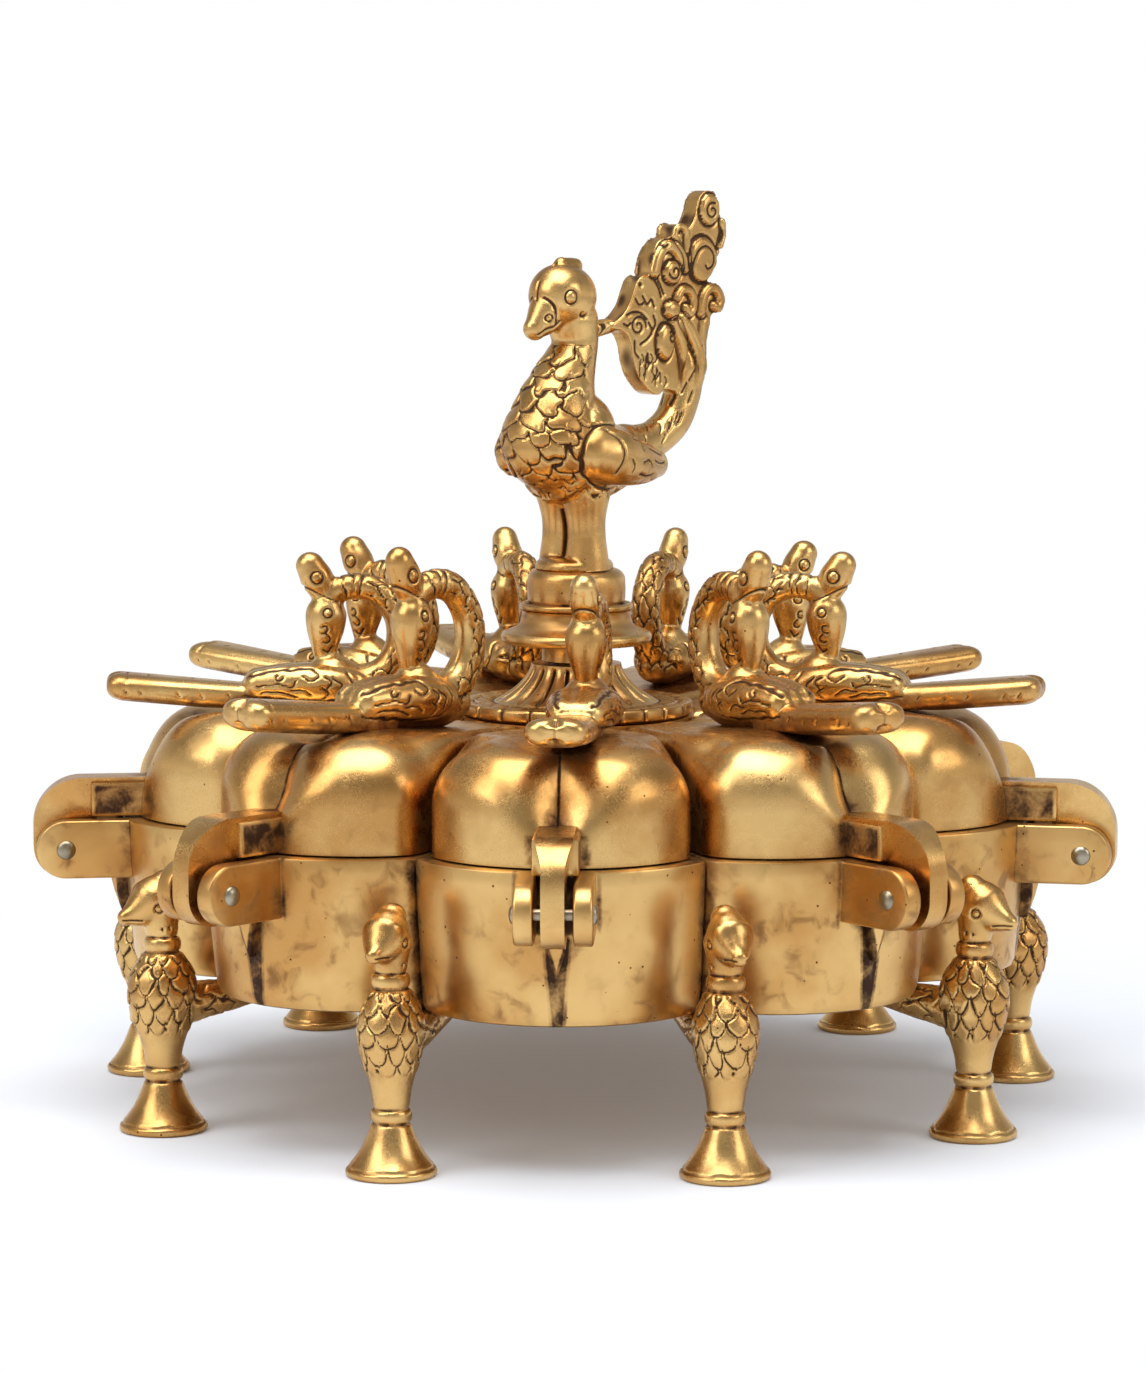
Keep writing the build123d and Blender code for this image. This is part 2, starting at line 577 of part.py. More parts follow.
def scalloped(junctions):
    """Closed outline whose points (x, z, bulge) are joined by arcs, bulging to the left."""
    edges = []
    for (x, z, bulge), (next_x, next_z, _) in zip(junctions, junctions[1:] + junctions[:1]):
        run, rise = next_x - x, next_z - z
        middle = ((x + next_x) / 2.0 - rise * bulge, (z + next_z) / 2.0 + run * bulge)
        if bulge:
            edges.append(ThreePointArc((x, z), middle, (next_x, next_z)))
        else:
            edges.append(Line((x, z), (next_x, next_z)))
    return make_face(edges)


def fan():
    """Upright plate of the raised tail, its edge scalloped in lobes."""
    return upright(scalloped(FAN_JUNCTIONS), FAN_THICKNESS)


def stem():
    """Rump and tail stem, bent up from the back of the body."""
    return Pos(STEM_CENTRE[0], 0, STEM_CENTRE[1]) * tube_arc(
        STEM_CURVE, STEM_RADIUS, STEM_START, STEM_TURN
    )


def peacock():
    """Standing peacock with folded wings and raised tail, still looking along +X."""
    body_back = PEACOCK_BODY_FRONT - PEACOCK_BODY_LENGTH
    fall = PEACOCK_BODY_LENGTH * math.tan(math.radians(PEACOCK_BODY_PITCH))
    body = between((PEACOCK_BODY_FRONT, PEACOCK_BODY_ABOVE),
                   (body_back, PEACOCK_BODY_ABOVE - fall), PEACOCK_BODY_RADIUS, FEATHER_BLUNT)
    leg_top = PEACOCK_BODY_ABOVE - PEACOCK_BODY_RADIUS / 2.0
    leg_post = Pos(0, 0, leg_top / 2.0) * Cylinder(PEACOCK_LEG_RADIUS, leg_top)
    legs = Pos(0, PEACOCK_LEG_SPREAD, 0) * leg_post + Pos(0, -PEACOCK_LEG_SPREAD, 0) * leg_post
    foot = Pos(0, 0, PEACOCK_FOOT_HEIGHT / 2.0) * Cone(
        PEACOCK_FOOT_RADIUS, PEACOCK_FOOT_RADIUS * 0.8, PEACOCK_FOOT_HEIGHT
    )
    run = PEACOCK_HEAD[0] - PEACOCK_NECK_FOOT[0]
    rise = PEACOCK_HEAD[1] - PEACOCK_NECK_FOOT[1]
    length = math.hypot(run, rise)
    side = [
        Line((0, 0), (PEACOCK_NECK_FOOT_RADIUS, 0)),
        ThreePointArc((PEACOCK_NECK_FOOT_RADIUS, 0),
                      (PEACOCK_NECK_WAIST[0], length * PEACOCK_NECK_WAIST[1]),
                      (PEACOCK_NECK_RADIUS, length)),
        Line((PEACOCK_NECK_RADIUS, length), (0, length)),
        Line((0, length), (0, 0)),
    ]
    neck = Pos(PEACOCK_NECK_FOOT[0], 0, PEACOCK_NECK_FOOT[1]) * Rot(
        0, math.degrees(math.atan2(run, rise)), 0
    ) * revolve(Plane.XZ * make_face(side), Axis.Z)
    head = Pos(PEACOCK_HEAD[0], 0, PEACOCK_HEAD[1]) * Sphere(PEACOCK_HEAD_RADIUS)
    crest_height = PEACOCK_HEAD[1] + PEACOCK_HEAD_RADIUS - PEACOCK_CREST_SINK
    crest = Pos(PEACOCK_HEAD[0], 0, crest_height) * Sphere(PEACOCK_CREST_RADIUS)
    beak = between(PEACOCK_HEAD, PEACOCK_BEAK_TIP, PEACOCK_BEAK_RADIUS)
    wing = Pos(PEACOCK_WING_FRONT[0], 0, PEACOCK_WING_FRONT[1]) * Rot(
        0, 180.0 - PEACOCK_WING_PITCH, 0
    ) * spindle(PEACOCK_WING_LENGTH, PEACOCK_WING_RADIUS, FEATHER_BLUNT)
    wings = Pos(0, PEACOCK_WING_SPREAD, 0) * wing + Pos(0, -PEACOCK_WING_SPREAD, 0) * wing
    return body + legs + foot + neck + head + crest + beak + wings + stem() + fan()


def hinge_pin():
    """Pin with a round head peened over at each end."""
    half = EAR_GAP / 2.0 + EAR_THICKNESS
    tip = half + PIN_HEAD_HEIGHT
    edges = [
        Line((0, 0), (PIN_RADIUS, 0)),
        Line((PIN_RADIUS, 0), (PIN_RADIUS, half)),
        Line((PIN_RADIUS, half), (PIN_HEAD_RADIUS, half)),
        Bezier((PIN_HEAD_RADIUS, half), (PIN_HEAD_RADIUS, tip), (0, tip)),
        Line((0, tip), (0, 0)),
    ]
    end = revolve(make_face(edges), Axis.Y)
    return Pos(PIN_CIRCLE, 0, PIN_HEIGHT) * (end + Rot(180, 0, 0) * end)


def hub_drum():
    """Hollow drum in the middle, which carries the bell on its top plate."""
    low = BOWL_BOTTOM + CUP_FLOOR
    height = HUB_TOP - low
    drum = Pos(0, 0, low + height / 2.0) * Cylinder(HUB_RADIUS, height)
    inside = height - HUB_TOP_PLATE
    hollow = Pos(0, 0, low + inside / 2.0) * Cylinder(HUB_RADIUS - HUB_WALL, inside)
    bore = Pos(0, 0, HUB_TOP) * Cylinder(STUD_RADIUS + STUD_FIT, 4.0 * HUB_TOP_PLATE)
    return drum - hollow - bore


def hub_base():
    """Plate under the drum, flush with the cup bottoms."""
    plate = Pos(0, 0, BOWL_BOTTOM + CUP_FLOOR / 2.0) * Cylinder(HUB_RADIUS, CUP_FLOOR)
    return plate - Pos(0, 0, BOWL_BOTTOM) * Cylinder(STUD_RADIUS + STUD_FIT, 4.0 * CUP_FLOOR)


def centre_stud():
    low = BOWL_BOTTOM - NUT_HEIGHT - STUD_BELOW_NUT
    return Pos(0, 0, (low + STUD_TOP) / 2.0) * Cylinder(STUD_RADIUS, STUD_TOP - low)


def stud_nut():
    flat = RegularPolygon(NUT_ACROSS_FLATS / 2.0, 6, major_radius=False)
    nut = Pos(0, 0, BOWL_BOTTOM - NUT_HEIGHT) * extrude(flat, NUT_HEIGHT)
    return nut - Pos(0, 0, BOWL_BOTTOM) * Cylinder(STUD_RADIUS + STUD_FIT, 4.0 * NUT_HEIGHT)


cup_shape = petal_cup()
lid_shape = lid()
bird_shape = lid_bird()
leg_shape = leg()
for index in range(PETALS):
    place = Rot(0, 0, petal_angle(index))
    save(place * cup_shape, f"petal_cup_{index + 1}")
    save(place * lid_shape, f"lid_{index + 1}")
    save(place * bird_shape, f"lid_bird_{index + 1}")
    save(Rot(0, 0, petal_angle(index) + HALF_ANGLE) * leg_shape, f"leg_{index + 1}")

pin_shape = hinge_pin()
save(
    Compound(children=[Rot(0, 0, petal_angle(index)) * pin_shape for index in range(PETALS)]),
    "hinge_pins",
)
save(hub_drum(), "hub_drum")
save(hub_base(), "hub_base")
save(centre_stud(), "centre_stud")
save(stud_nut(), "stud_nut")
save(bell(), "bell")
save(pedestal(), "pedestal")
save(Pos(0, 0, PEDESTAL_TOP) * Rot(0, 0, PEACOCK_YAW) * peacock(), "peacock")
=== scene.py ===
import logging
import math
from collections.abc import Callable, Iterable, Sequence
from dataclasses import dataclass
from enum import Enum
from typing import Any

import bmesh
import bpy
import numpy as np
from mathutils import Matrix, Vector


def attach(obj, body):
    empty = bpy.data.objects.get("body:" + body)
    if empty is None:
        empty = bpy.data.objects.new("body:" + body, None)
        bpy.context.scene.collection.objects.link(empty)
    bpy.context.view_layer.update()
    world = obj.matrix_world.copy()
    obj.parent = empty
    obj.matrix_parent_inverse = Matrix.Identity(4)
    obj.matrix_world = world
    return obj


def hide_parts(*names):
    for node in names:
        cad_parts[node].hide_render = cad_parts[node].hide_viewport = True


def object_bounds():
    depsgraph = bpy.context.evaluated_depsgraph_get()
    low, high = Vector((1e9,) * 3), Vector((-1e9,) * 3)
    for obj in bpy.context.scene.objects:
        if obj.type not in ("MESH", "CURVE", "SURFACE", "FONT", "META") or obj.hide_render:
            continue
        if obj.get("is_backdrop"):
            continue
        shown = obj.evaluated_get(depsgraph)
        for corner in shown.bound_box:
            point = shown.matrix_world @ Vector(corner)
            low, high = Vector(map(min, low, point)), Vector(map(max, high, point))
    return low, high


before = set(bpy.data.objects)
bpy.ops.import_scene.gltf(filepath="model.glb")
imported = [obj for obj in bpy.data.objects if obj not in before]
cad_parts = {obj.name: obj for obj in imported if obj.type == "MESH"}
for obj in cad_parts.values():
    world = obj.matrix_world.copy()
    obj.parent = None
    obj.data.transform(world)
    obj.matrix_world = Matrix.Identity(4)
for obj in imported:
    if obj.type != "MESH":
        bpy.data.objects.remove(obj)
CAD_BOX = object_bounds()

log = logging.getLogger("kumkum_box")

MM = 0.001
PETALS = 9
STEP = 2.0 * math.pi / PETALS  # turn from one petal to the next
HALF = STEP / 2.0
SLOPE = math.tan(HALF)  # a petal's half width for each millimetre outwards
FIRST_PETAL = -math.pi / 2.0  # direction of petal 1
LOBE = 63.17  # from the axis to the middle of a petal's round end

Piece = bpy.types.Object
Point = tuple[float, float]
Knot = tuple[float, float, float, float]
Colour = tuple[float, float, float, float]
WHITE: Colour = (1.0, 1.0, 1.0, 1.0)


class Slot(Enum):
    """Material slots of the part's record."""

    CAST = "cast_brass"
    LID = "lid_brass"
    CARVED = "carved_brass"
    TURNED = "turned_brass"
    PIN = "pin_metal"


def smooth(value: np.ndarray | float, low: float, high: float) -> np.ndarray:
    """Ease from 0 at low to 1 at high.

    Args:
        value: Numbers to ease.
        low: Where the result is 0.
        high: Where the result is 1.

    Returns:
        The eased numbers.
    """
    t = np.clip((np.asarray(value, float) - low) / (high - low), 0.0, 1.0)
    return t * t * (3.0 - 2.0 * t)


def band(value: np.ndarray, start: float, full: float, fade: float, end: float) -> np.ndarray:
    """Ease in from start to full, and out again from fade to end."""
    return smooth(value, start, full) * smooth(value, end, fade)


def wander(points: np.ndarray, wavelength: float, seed: int) -> np.ndarray:
    """Smooth hand-made unevenness, about -1 to 1, for each point.

    Args:
        points: Places in millimetres, one a row.
        wavelength: Distance between two swells in millimetres.
        seed: Picks the pattern.

    Returns:
        One number a point.
    """
    rng = np.random.default_rng(seed)
    total = np.zeros(len(points))
    for _ in range(7):
        way = rng.normal(size=3)
        way /= np.linalg.norm(way)
        pitch = wavelength * rng.uniform(0.7, 1.5)
        total += np.sin(points @ way * (2.0 * math.pi / pitch) + rng.uniform(0.0, 6.28))
    return total / 2.6


def spline(knots: Sequence[Sequence[float]], steps: int = 12) -> np.ndarray:
    """Run a smooth line through knots.

    Args:
        knots: Rows of numbers; each column is drawn through on its own.
        steps: Points between two knots.

    Returns:
        The line's rows.
    """
    rows = np.asarray(knots, float)
    if len(rows) < 3:
        share = np.linspace(0.0, 1.0, steps + 1)[:, None]
        return rows[0] + (rows[-1] - rows[0]) * share
    padded = np.vstack([2 * rows[0] - rows[1], rows, 2 * rows[-1] - rows[-2]])
    line = []
    for a, b, c, d in zip(padded, padded[1:], padded[2:], padded[3:]):
        for t in np.arange(steps) / steps:
            line.append(0.5 * (2 * b + (c - a) * t + (2 * a - 5 * b + 4 * c - d) * t**2
                               + (3 * b - a - 3 * c + d) * t**3))
    return np.array(line + [rows[-1]])


def drawn(*lines: Sequence[Point]) -> list[np.ndarray]:
    """Smooth line through each row of knots."""
    return [spline(knots) for knots in lines]


def level(plan: np.ndarray, height: float) -> np.ndarray:
    """Ring of a plan at one height."""
    return np.column_stack([plan, np.full(len(plan), height)])


def curl(centre: Point, start: float, end: float, turns: float, lead: float) -> np.ndarray:
    """Draw a spiral.

    Args:
        centre: Middle of the spiral.
        start: Radius at its first point.
        end: Radius at its last point.
        turns: Turns, counter-clockwise if positive.
        lead: Direction of the first point from the centre, in degrees.

    Returns:
        Points in the drawing plane.
    """
    share = np.linspace(0.0, 1.0, max(8, int(26 * abs(turns))))
    radius = start + (end - start) * share
    angle = math.radians(lead) + 2.0 * math.pi * turns * share
    return np.column_stack([centre[0] + radius * np.cos(angle),
                            centre[1] + radius * np.sin(angle)])


def away(flat: np.ndarray, line: np.ndarray | Sequence[Point]) -> np.ndarray:
    """Distance of points from a drawn line.

    Args:
        flat: Points in the drawing plane, one a row.
        line: Corners of the line.

    Returns:
        One distance a point.
    """
    line = np.asarray(line, float)
    best = np.full(len(flat), 1e3)
    low, high = line.min(0) - 3.0, line.max(0) + 3.0
    near = np.nonzero(np.all((flat > low) & (flat < high), axis=1))[0]
    if not len(near):
        return best
    spots = flat[near]
    found = np.full(len(near), 1e3)
    for a, b in zip(line[:-1], line[1:]):
        run = b - a
        share = np.clip((spots - a) @ run / max(run @ run, 1e-9), 0.0, 1.0)
        gap = spots - a - share[:, None] * run
        found = np.minimum(found, np.hypot(gap[:, 0], gap[:, 1]))
    best[near] = found
    return best


class Bench:
    """Tools that shape one piece at a time; every length is in millimetres."""

    @staticmethod
    def pick(*pieces: Piece) -> None:
        """Select these objects alone; the first becomes the active one.

        Args:
            pieces: The objects, or none to deselect everything.
        """
        bpy.ops.object.select_all(action="DESELECT")
        for piece in pieces:
            piece.select_set(True)
        if pieces:
            bpy.context.view_layer.objects.active = pieces[0]

    @staticmethod
    def read(piece: Piece) -> np.ndarray:
        """Vertex places of a piece, one a row."""
        places = np.empty(len(piece.data.vertices) * 3, np.float32)
        piece.data.vertices.foreach_get("co", places)
        return places.reshape(-1, 3).astype(float)

    @staticmethod
    def normals(piece: Piece) -> np.ndarray:
        """Direction that each vertex of a piece faces, one a row."""
        facing = np.empty(len(piece.data.vertices) * 3, np.float32)
        piece.data.vertices.foreach_get("normal", facing)
        return facing.reshape(-1, 3).astype(float)

    @staticmethod
    def write(piece: Piece, places: np.ndarray) -> None:
        """Put the vertices of a piece at these places."""
        piece.data.vertices.foreach_set("co", places.astype(np.float32).ravel())
        piece.data.update()

    @staticmethod
    def apply(piece: Piece, kind: str, **settings: Any) -> None:
        """Add one modifier with its settings and apply it.

        Args:
            piece: The piece.
            kind: Type of the modifier.
            settings: Its settings by name.
        """
        Bench.pick(piece)
        modifier = piece.modifiers.new(kind.title(), kind)
        for name, value in settings.items():
            setattr(modifier, name, value)
        bpy.ops.object.modifier_apply(modifier=modifier.name)

    @staticmethod
    def join(pieces: Sequence[Piece]) -> Piece:
        """Make one object of several."""
        Bench.pick(*pieces)
        bpy.ops.object.join()
        return bpy.context.object

    @staticmethod
    def fuse(pieces: Sequence[Piece], voxel: float, polish: int) -> Piece:
        """Melt overlapping closed parts into one skin.

        Args:
            pieces: The overlapping parts.
            voxel: Size of the new skin's faces.
            polish: Passes that round off the joins.

        Returns:
            The fused piece.
        """
        whole = Bench.join(pieces)
        Bench.apply(whole, "REMESH", mode="VOXEL", voxel_size=voxel, use_smooth_shade=True)
        Bench.apply(whole, "SMOOTH", factor=0.5, iterations=polish)
        return whole

    @staticmethod
    def combine(piece: Piece, other: Piece, operation: str) -> Piece:
        """Add or cut another solid with an exact boolean, and remove that solid.

        Args:
            piece: The piece.
            other: The solid that is added or cut away.
            operation: Name of the boolean.

        Returns:
            The piece.
        """
        Bench.apply(piece, "BOOLEAN", operation=operation, object=other, solver="EXACT")
        bpy.data.objects.remove(other)
        return piece

    @staticmethod
    def drill(piece: Piece, x: float, z: float, half: float, radius: float) -> Piece:
        """Cut the pin's round bore across a piece."""
        bar = Bench.rod((x, -half, z), (x, half, z), radius, 24)
        return Bench.combine(piece, bar, "DIFFERENCE")

    @staticmethod
    def bevel(piece: Piece, width: float, segments: int = 3, limit: float = 30.0) -> Piece:
        """Round the sharp edges of a piece.

        Args:
            piece: The piece.
            width: Width of the rounding.
            segments: Faces across it.
            limit: Least angle of an edge, in degrees.

        Returns:
            The piece.
        """
        Bench.apply(piece, "BEVEL", width=width, segments=segments, limit_method="ANGLE",
                    angle_limit=math.radians(limit), use_clamp_overlap=True)
        return piece

    @staticmethod
    def shade(piece: Piece, limit: float = 35.0) -> None:
        """Shade smooth, with the edges above the limit left sharp."""
        Bench.pick(piece)
        bpy.ops.object.shade_smooth_by_angle(angle=math.radians(limit))

    @staticmethod
    def outward(piece: Piece) -> None:
        """Merge doubles and turn every face outwards.

        Args:
            piece: The piece.
        """
        Bench.pick(piece)
        bpy.ops.object.mode_set(mode="EDIT")
        bpy.ops.mesh.select_all(action="SELECT")
        bpy.ops.mesh.remove_doubles(threshold=0.004)
        bpy.ops.mesh.normals_make_consistent(inside=False)
        bpy.ops.mesh.select_all(action="DESELECT")
        bpy.ops.object.mode_set(mode="OBJECT")

    @staticmethod
    def block(low: Sequence[float], high: Sequence[float]) -> Piece:
        """Box between two corners.

        Args:
            low: Corner with the smallest numbers.
            high: The opposite corner.

        Returns:
            The box.
        """
        middle = [(a + b) / 2.0 for a, b in zip(low, high)]
        bpy.ops.object.select_all(action="DESELECT")
        bpy.ops.mesh.primitive_cube_add(size=1.0, location=middle)
        box = bpy.context.object
        box.scale = [b - a for a, b in zip(low, high)]
        bpy.ops.object.transform_apply(location=True, rotation=True, scale=True)
        return box

    @staticmethod
    def rod(start: Sequence[float], end: Sequence[float], radius: float, sides: int) -> Piece:
        """Round bar between two points.

        Args:
            start: Middle of one end.
            end: Middle of the other end.
            radius: Its radius.
            sides: Faces round it.

        Returns:
            The bar.
        """
        a, b = Vector(start), Vector(end)
        bpy.ops.object.select_all(action="DESELECT")
        bpy.ops.mesh.primitive_cylinder_add(vertices=sides, radius=radius,
                                            depth=(b - a).length, location=(a + b) / 2.0)
        bar = bpy.context.object
        bar.rotation_mode = "QUATERNION"
        bar.rotation_quaternion = (b - a).to_track_quat("Z", "Y")
        bpy.ops.object.transform_apply(location=True, rotation=True, scale=True)
        return bar

    @staticmethod
    def skin(rings: Sequence[np.ndarray], open_end: bool = False) -> Piece:
        """Extrude one ring of edges from place to place into a closed skin.

        Args:
            rings: Places of the ring at each step, every ring with as many points.
            open_end: Leave the first ring open, for a shell.

        Returns:
            The skin, with its ends filled.
        """
        count = len(rings[0])
        bpy.ops.object.select_all(action="DESELECT")
        bpy.ops.mesh.primitive_circle_add(vertices=count, radius=1.0)
        piece = bpy.context.object
        Bench.write(piece, rings[0])
        bpy.ops.object.mode_set(mode="EDIT")
        bpy.ops.mesh.select_mode(type="VERT")
        bpy.ops.mesh.select_all(action="SELECT")
        sheet = bmesh.from_edit_mesh(piece.data)
        tracks = {vertex: index for index, vertex in enumerate(sheet.verts)}
        for ring in rings[1:]:
            bpy.ops.mesh.extrude_region()
            sheet = bmesh.from_edit_mesh(piece.data)
            fresh = {}
            for vertex in (v for v in sheet.verts if v.select):
                for edge in vertex.link_edges:
                    other = edge.other_vert(vertex)
                    if other in tracks:
                        fresh[vertex] = tracks[other]
                        break
            for vertex, index in fresh.items():
                vertex.co = ring[index]
            tracks = fresh
        bpy.ops.mesh.edge_face_add()
        bpy.ops.object.mode_set(mode="OBJECT")
        if not open_end:
            Bench.pick(piece)
            bpy.ops.object.mode_set(mode="EDIT")
            bpy.ops.mesh.select_all(action="DESELECT")
            bpy.ops.mesh.select_non_manifold()
            bpy.ops.mesh.edge_face_add()
            bpy.ops.object.mode_set(mode="OBJECT")
        Bench.outward(piece)
        return piece

    @staticmethod
    def turn(profile: np.ndarray, steps: int, rise: Callable | None = None) -> Piece:
        """Turn a closed profile on the lathe and, if asked, shape it round the axis.

        Args:
            profile: Rows (radius, height) from the bottom middle to the top middle.
            steps: Cuts in a full turn.
            rise: Gives (radius, height) for (radius, height, angle) arrays.

        Returns:
            The turned solid.
        """
        angles = np.arange(steps) / steps * 2.0 * math.pi
        rings = []
        for radius, height in profile:
            r, z = np.full(steps, radius), np.full(steps, height)
            if rise:
                r, z = rise(r, z, angles)
            rings.append(np.column_stack([r * np.cos(angles), r * np.sin(angles), z]))
        return Bench.skin(rings)


@dataclass(frozen=True)
class Limb:
    """Round bar of changing thickness, rolled in wax and bent along a line.

    Attributes:
        knots: Points (x, y, z, radius) along its middle.
        breadth: Width sideways as a share of its height.
    """

    knots: tuple[Knot, ...]
    breadth: float = 1.0

    @staticmethod
    def middle(*knots: tuple[float, float, float], breadth: float = 1.0) -> "Limb":
        """Bar in the middle plane, from rows (x, z, radius)."""
        return Limb(tuple((x, 0.0, z, radius) for x, z, radius in knots), breadth)

    def build(self, segments: int = 28, rings: int = 56) -> Piece:
        """Shape a ball into the bar.

        Args:
            segments: Faces round the bar.
            rings: Faces along the bar.

        Returns:
            The bar as a closed piece.
        """
        bpy.ops.object.select_all(action="DESELECT")
        bpy.ops.mesh.primitive_uv_sphere_add(segments=segments, ring_count=rings, radius=1.0)
        bar = bpy.context.object
        unit = Bench.read(bar)
        line = spline(self.knots)
        steps = np.linalg.norm(np.diff(line[:, :3], axis=0), axis=1)
        run = np.concatenate([[0.0], np.cumsum(steps)])
        length, first, last = run[-1], line[0, 3], line[-1, 3]
        place = -first + (length + first + last) * (1.0 + unit[:, 2]) / 2.0
        inside = np.clip(place, 0.0, length)
        row = np.column_stack([np.interp(inside, run, line[:, i]) for i in range(4)])
        ahead = np.column_stack([np.interp(inside, run, g) for g in np.gradient(
            line[:, :3], axis=0).T])
        ahead /= np.linalg.norm(ahead, axis=1)[:, None]
        past = place - inside
        end = np.where(past < 0.0, first, last)
        radius = np.where(past == 0.0, row[:, 3], np.sqrt(np.maximum(end**2 - past**2, 0.0)))
        side = np.array([0.0, 1.0, 0.0]) - ahead[:, 1:2] * ahead
        side /= np.linalg.norm(side, axis=1)[:, None]
        up = np.cross(side, ahead)
        angle = np.arctan2(unit[:, 1], unit[:, 0])
        places = (row[:, :3] + ahead * past[:, None]
                  + side * (radius * self.breadth * np.cos(angle))[:, None]
                  + up * (radius * np.sin(angle))[:, None])
        Bench.write(bar, places)
        Bench.outward(bar)
        return bar

    def mirrored(self) -> "Limb":
        """The same bar on the other side of the middle plane."""
        return Limb(tuple((x, -y, z, r) for x, y, z, r in self.knots), self.breadth)


class Engraving:
    """Grooves, scales and raised lines worked into the skin of one piece."""

    def __init__(self, piece: Piece) -> None:
        """Read the skin of a piece.

        Args:
            piece: The fused piece, in its own frame.
        """
        self.piece = piece
        self.places = Bench.read(piece)
        self.normals = Bench.normals(piece)
        self.flat = self.places[:, [0, 2]]
        self.groove = np.zeros(len(self.places))
        self.rise = np.zeros(len(self.places))

    def cut(self, distance: np.ndarray, width: float, where: np.ndarray | float = 1.0) -> None:
        """Cut a groove along a line.

        Args:
            distance: Distance of each point from the line.
            width: Half of the groove's width.
            where: Share of the groove kept at each point.
        """
        fresh = (1.0 - smooth(distance, 0.15 * width, width)) * where
        self.groove = np.maximum(self.groove, fresh)

    def strokes(self, flat: np.ndarray, lines: Iterable[Sequence[Point] | np.ndarray],
                width: float, where: np.ndarray | float = 1.0) -> None:
        """Cut a groove along each drawn line.

        Args:
            flat: The skin's points in the drawing plane.
            lines: Corners of each line.
            width: Half of the grooves' width.
            where: Share of the grooves kept at each point.
        """
        for line in lines:
            self.cut(away(flat, line), width, where)

    def raise_line(self, distance: np.ndarray, width: float, height: float,
                   where: np.ndarray | float = 1.0, dark: float = 1.0) -> None:
        """Lay a round cord on the skin, with a groove on both sides.

        Args:
            distance: Distance of each point from the cord's middle.
            width: Half of the cord's width.
            height: Height of the cord.
            where: Share kept at each point.
            dark: Depth of the groove beside it.
        """
        cord = np.sqrt(np.clip(1.0 - (distance / width) ** 2, 0.0, 1.0))
        self.rise = np.maximum(self.rise, cord * height * where)
        self.cut(np.abs(distance - width * 1.1), 0.42, where * dark)

    def scales(self, along: np.ndarray, across: np.ndarray, pitch: float, width: float,
               where: np.ndarray, tip: float, wide: float, slope: float) -> None:
        """Cut overlapping U-shaped scales.

        Args:
            along: Distance in the direction that the scales point.
            across: Distance sideways.
            pitch: Distance between two rows.
            width: Width of one scale.
            where: Share kept at each point.
            tip: Length of a scale's round end, in rows.
            wide: Half of the groove's width.
            slope: How much a scale rises towards its end.
        """
        row = np.floor(along / pitch)
        behind = None
        done = np.zeros(len(along), bool)
        for step in (-3, -2, -1, 0, 1, 2):
            index = row + step
            shift = np.where(np.mod(index, 2.0) > 0.5, 0.5, 0.0)
            cell = np.mod(across / width + shift, 1.0) - 0.5
            bow = np.sqrt(np.clip(1.0 - (2.0 * cell) ** 2, 0.0, 1.0))
            edge = index * pitch + tip * pitch * bow
            lean = tip * pitch * 2.0 * np.abs(cell) / width * 2.0 / np.maximum(bow, 0.25)
            gap = np.abs(along - edge) / np.sqrt(1.0 + lean**2)
            shown = 1.0 if behind is None else edge > behind - 0.05
            if step > -3:
                self.cut(gap, wide, where * shown)
                inside = (along <= edge) & ~done
                lift = slope * smooth((edge - along) / pitch, 1.6, 0.2)
                self.rise = np.maximum(self.rise, np.where(inside, lift * where, 0.0))
                done |= along <= edge
            behind = edge if behind is None else np.maximum(behind, edge)

    def finish(self, depth: float, passes: int = 3, dished: float = 1.0) -> None:
        """Move the skin, and store what the finish needs.

        Args:
            depth: Depth of a full groove.
            passes: Smoothing passes of the hollows.
            dished: Share of the hollows that is kept.
        """
        moved = self.places + self.normals * (self.rise - depth * self.groove)[:, None]
        Bench.write(self.piece, moved)
        Store.numbers(self.piece, "groove", self.groove)
        Store.hollows(self.piece, passes, dished)


class Store:
    """Numbers kept on the vertices for the finishes."""

    @staticmethod
    def numbers(piece: Piece, name: str, values: np.ndarray) -> None:
        """Store one number a vertex."""
        layer = piece.data.attributes.new(name, "FLOAT", "POINT")
        layer.data.foreach_set("value", values.astype(np.float32))

    @staticmethod
    def place(piece: Piece) -> None:
        """Store each vertex's place in the piece's own frame, in millimetres."""
        layer = piece.data.attributes.new("spot", "FLOAT_VECTOR", "POINT")
        layer.data.foreach_set("vector", Bench.read(piece).astype(np.float32).ravel())

    @staticmethod
    def hollows(piece: Piece, passes: int, share_kept: float) -> None:
        """Store how far the skin is dished (above 0) or domed (below 0).

        Args:
            piece: A piece with even faces.
            passes: How often the numbers are spread to the neighbours.
            share_kept: What the numbers are multiplied by.
        """
        mesh = piece.data
        ends = np.empty(len(mesh.edges) * 2, np.int32)
        mesh.edges.foreach_get("vertices", ends)
        a, b = ends.reshape(-1, 2).T
        count = len(mesh.vertices)
        places, normals = Bench.read(piece), Bench.normals(piece)
        share = np.bincount(a, minlength=count) + np.bincount(b, minlength=count)
        share = np.maximum(share, 1)

        def spread(values: np.ndarray) -> np.ndarray:
            """Mean of the neighbours' values."""
            return (np.bincount(a, values[b], count) + np.bincount(b, values[a], count)) / share

        lean = sum((spread(places[:, i]) - places[:, i]) * normals[:, i] for i in range(3))
        size = np.median(np.linalg.norm(places[a] - places[b], axis=1))
        lean = np.clip(lean / size**2, -2.0, 2.0)
        for _ in range(passes):
            lean = 0.5 * lean + 0.5 * spread(lean)
        Store.numbers(piece, "hollow", lean * share_kept)


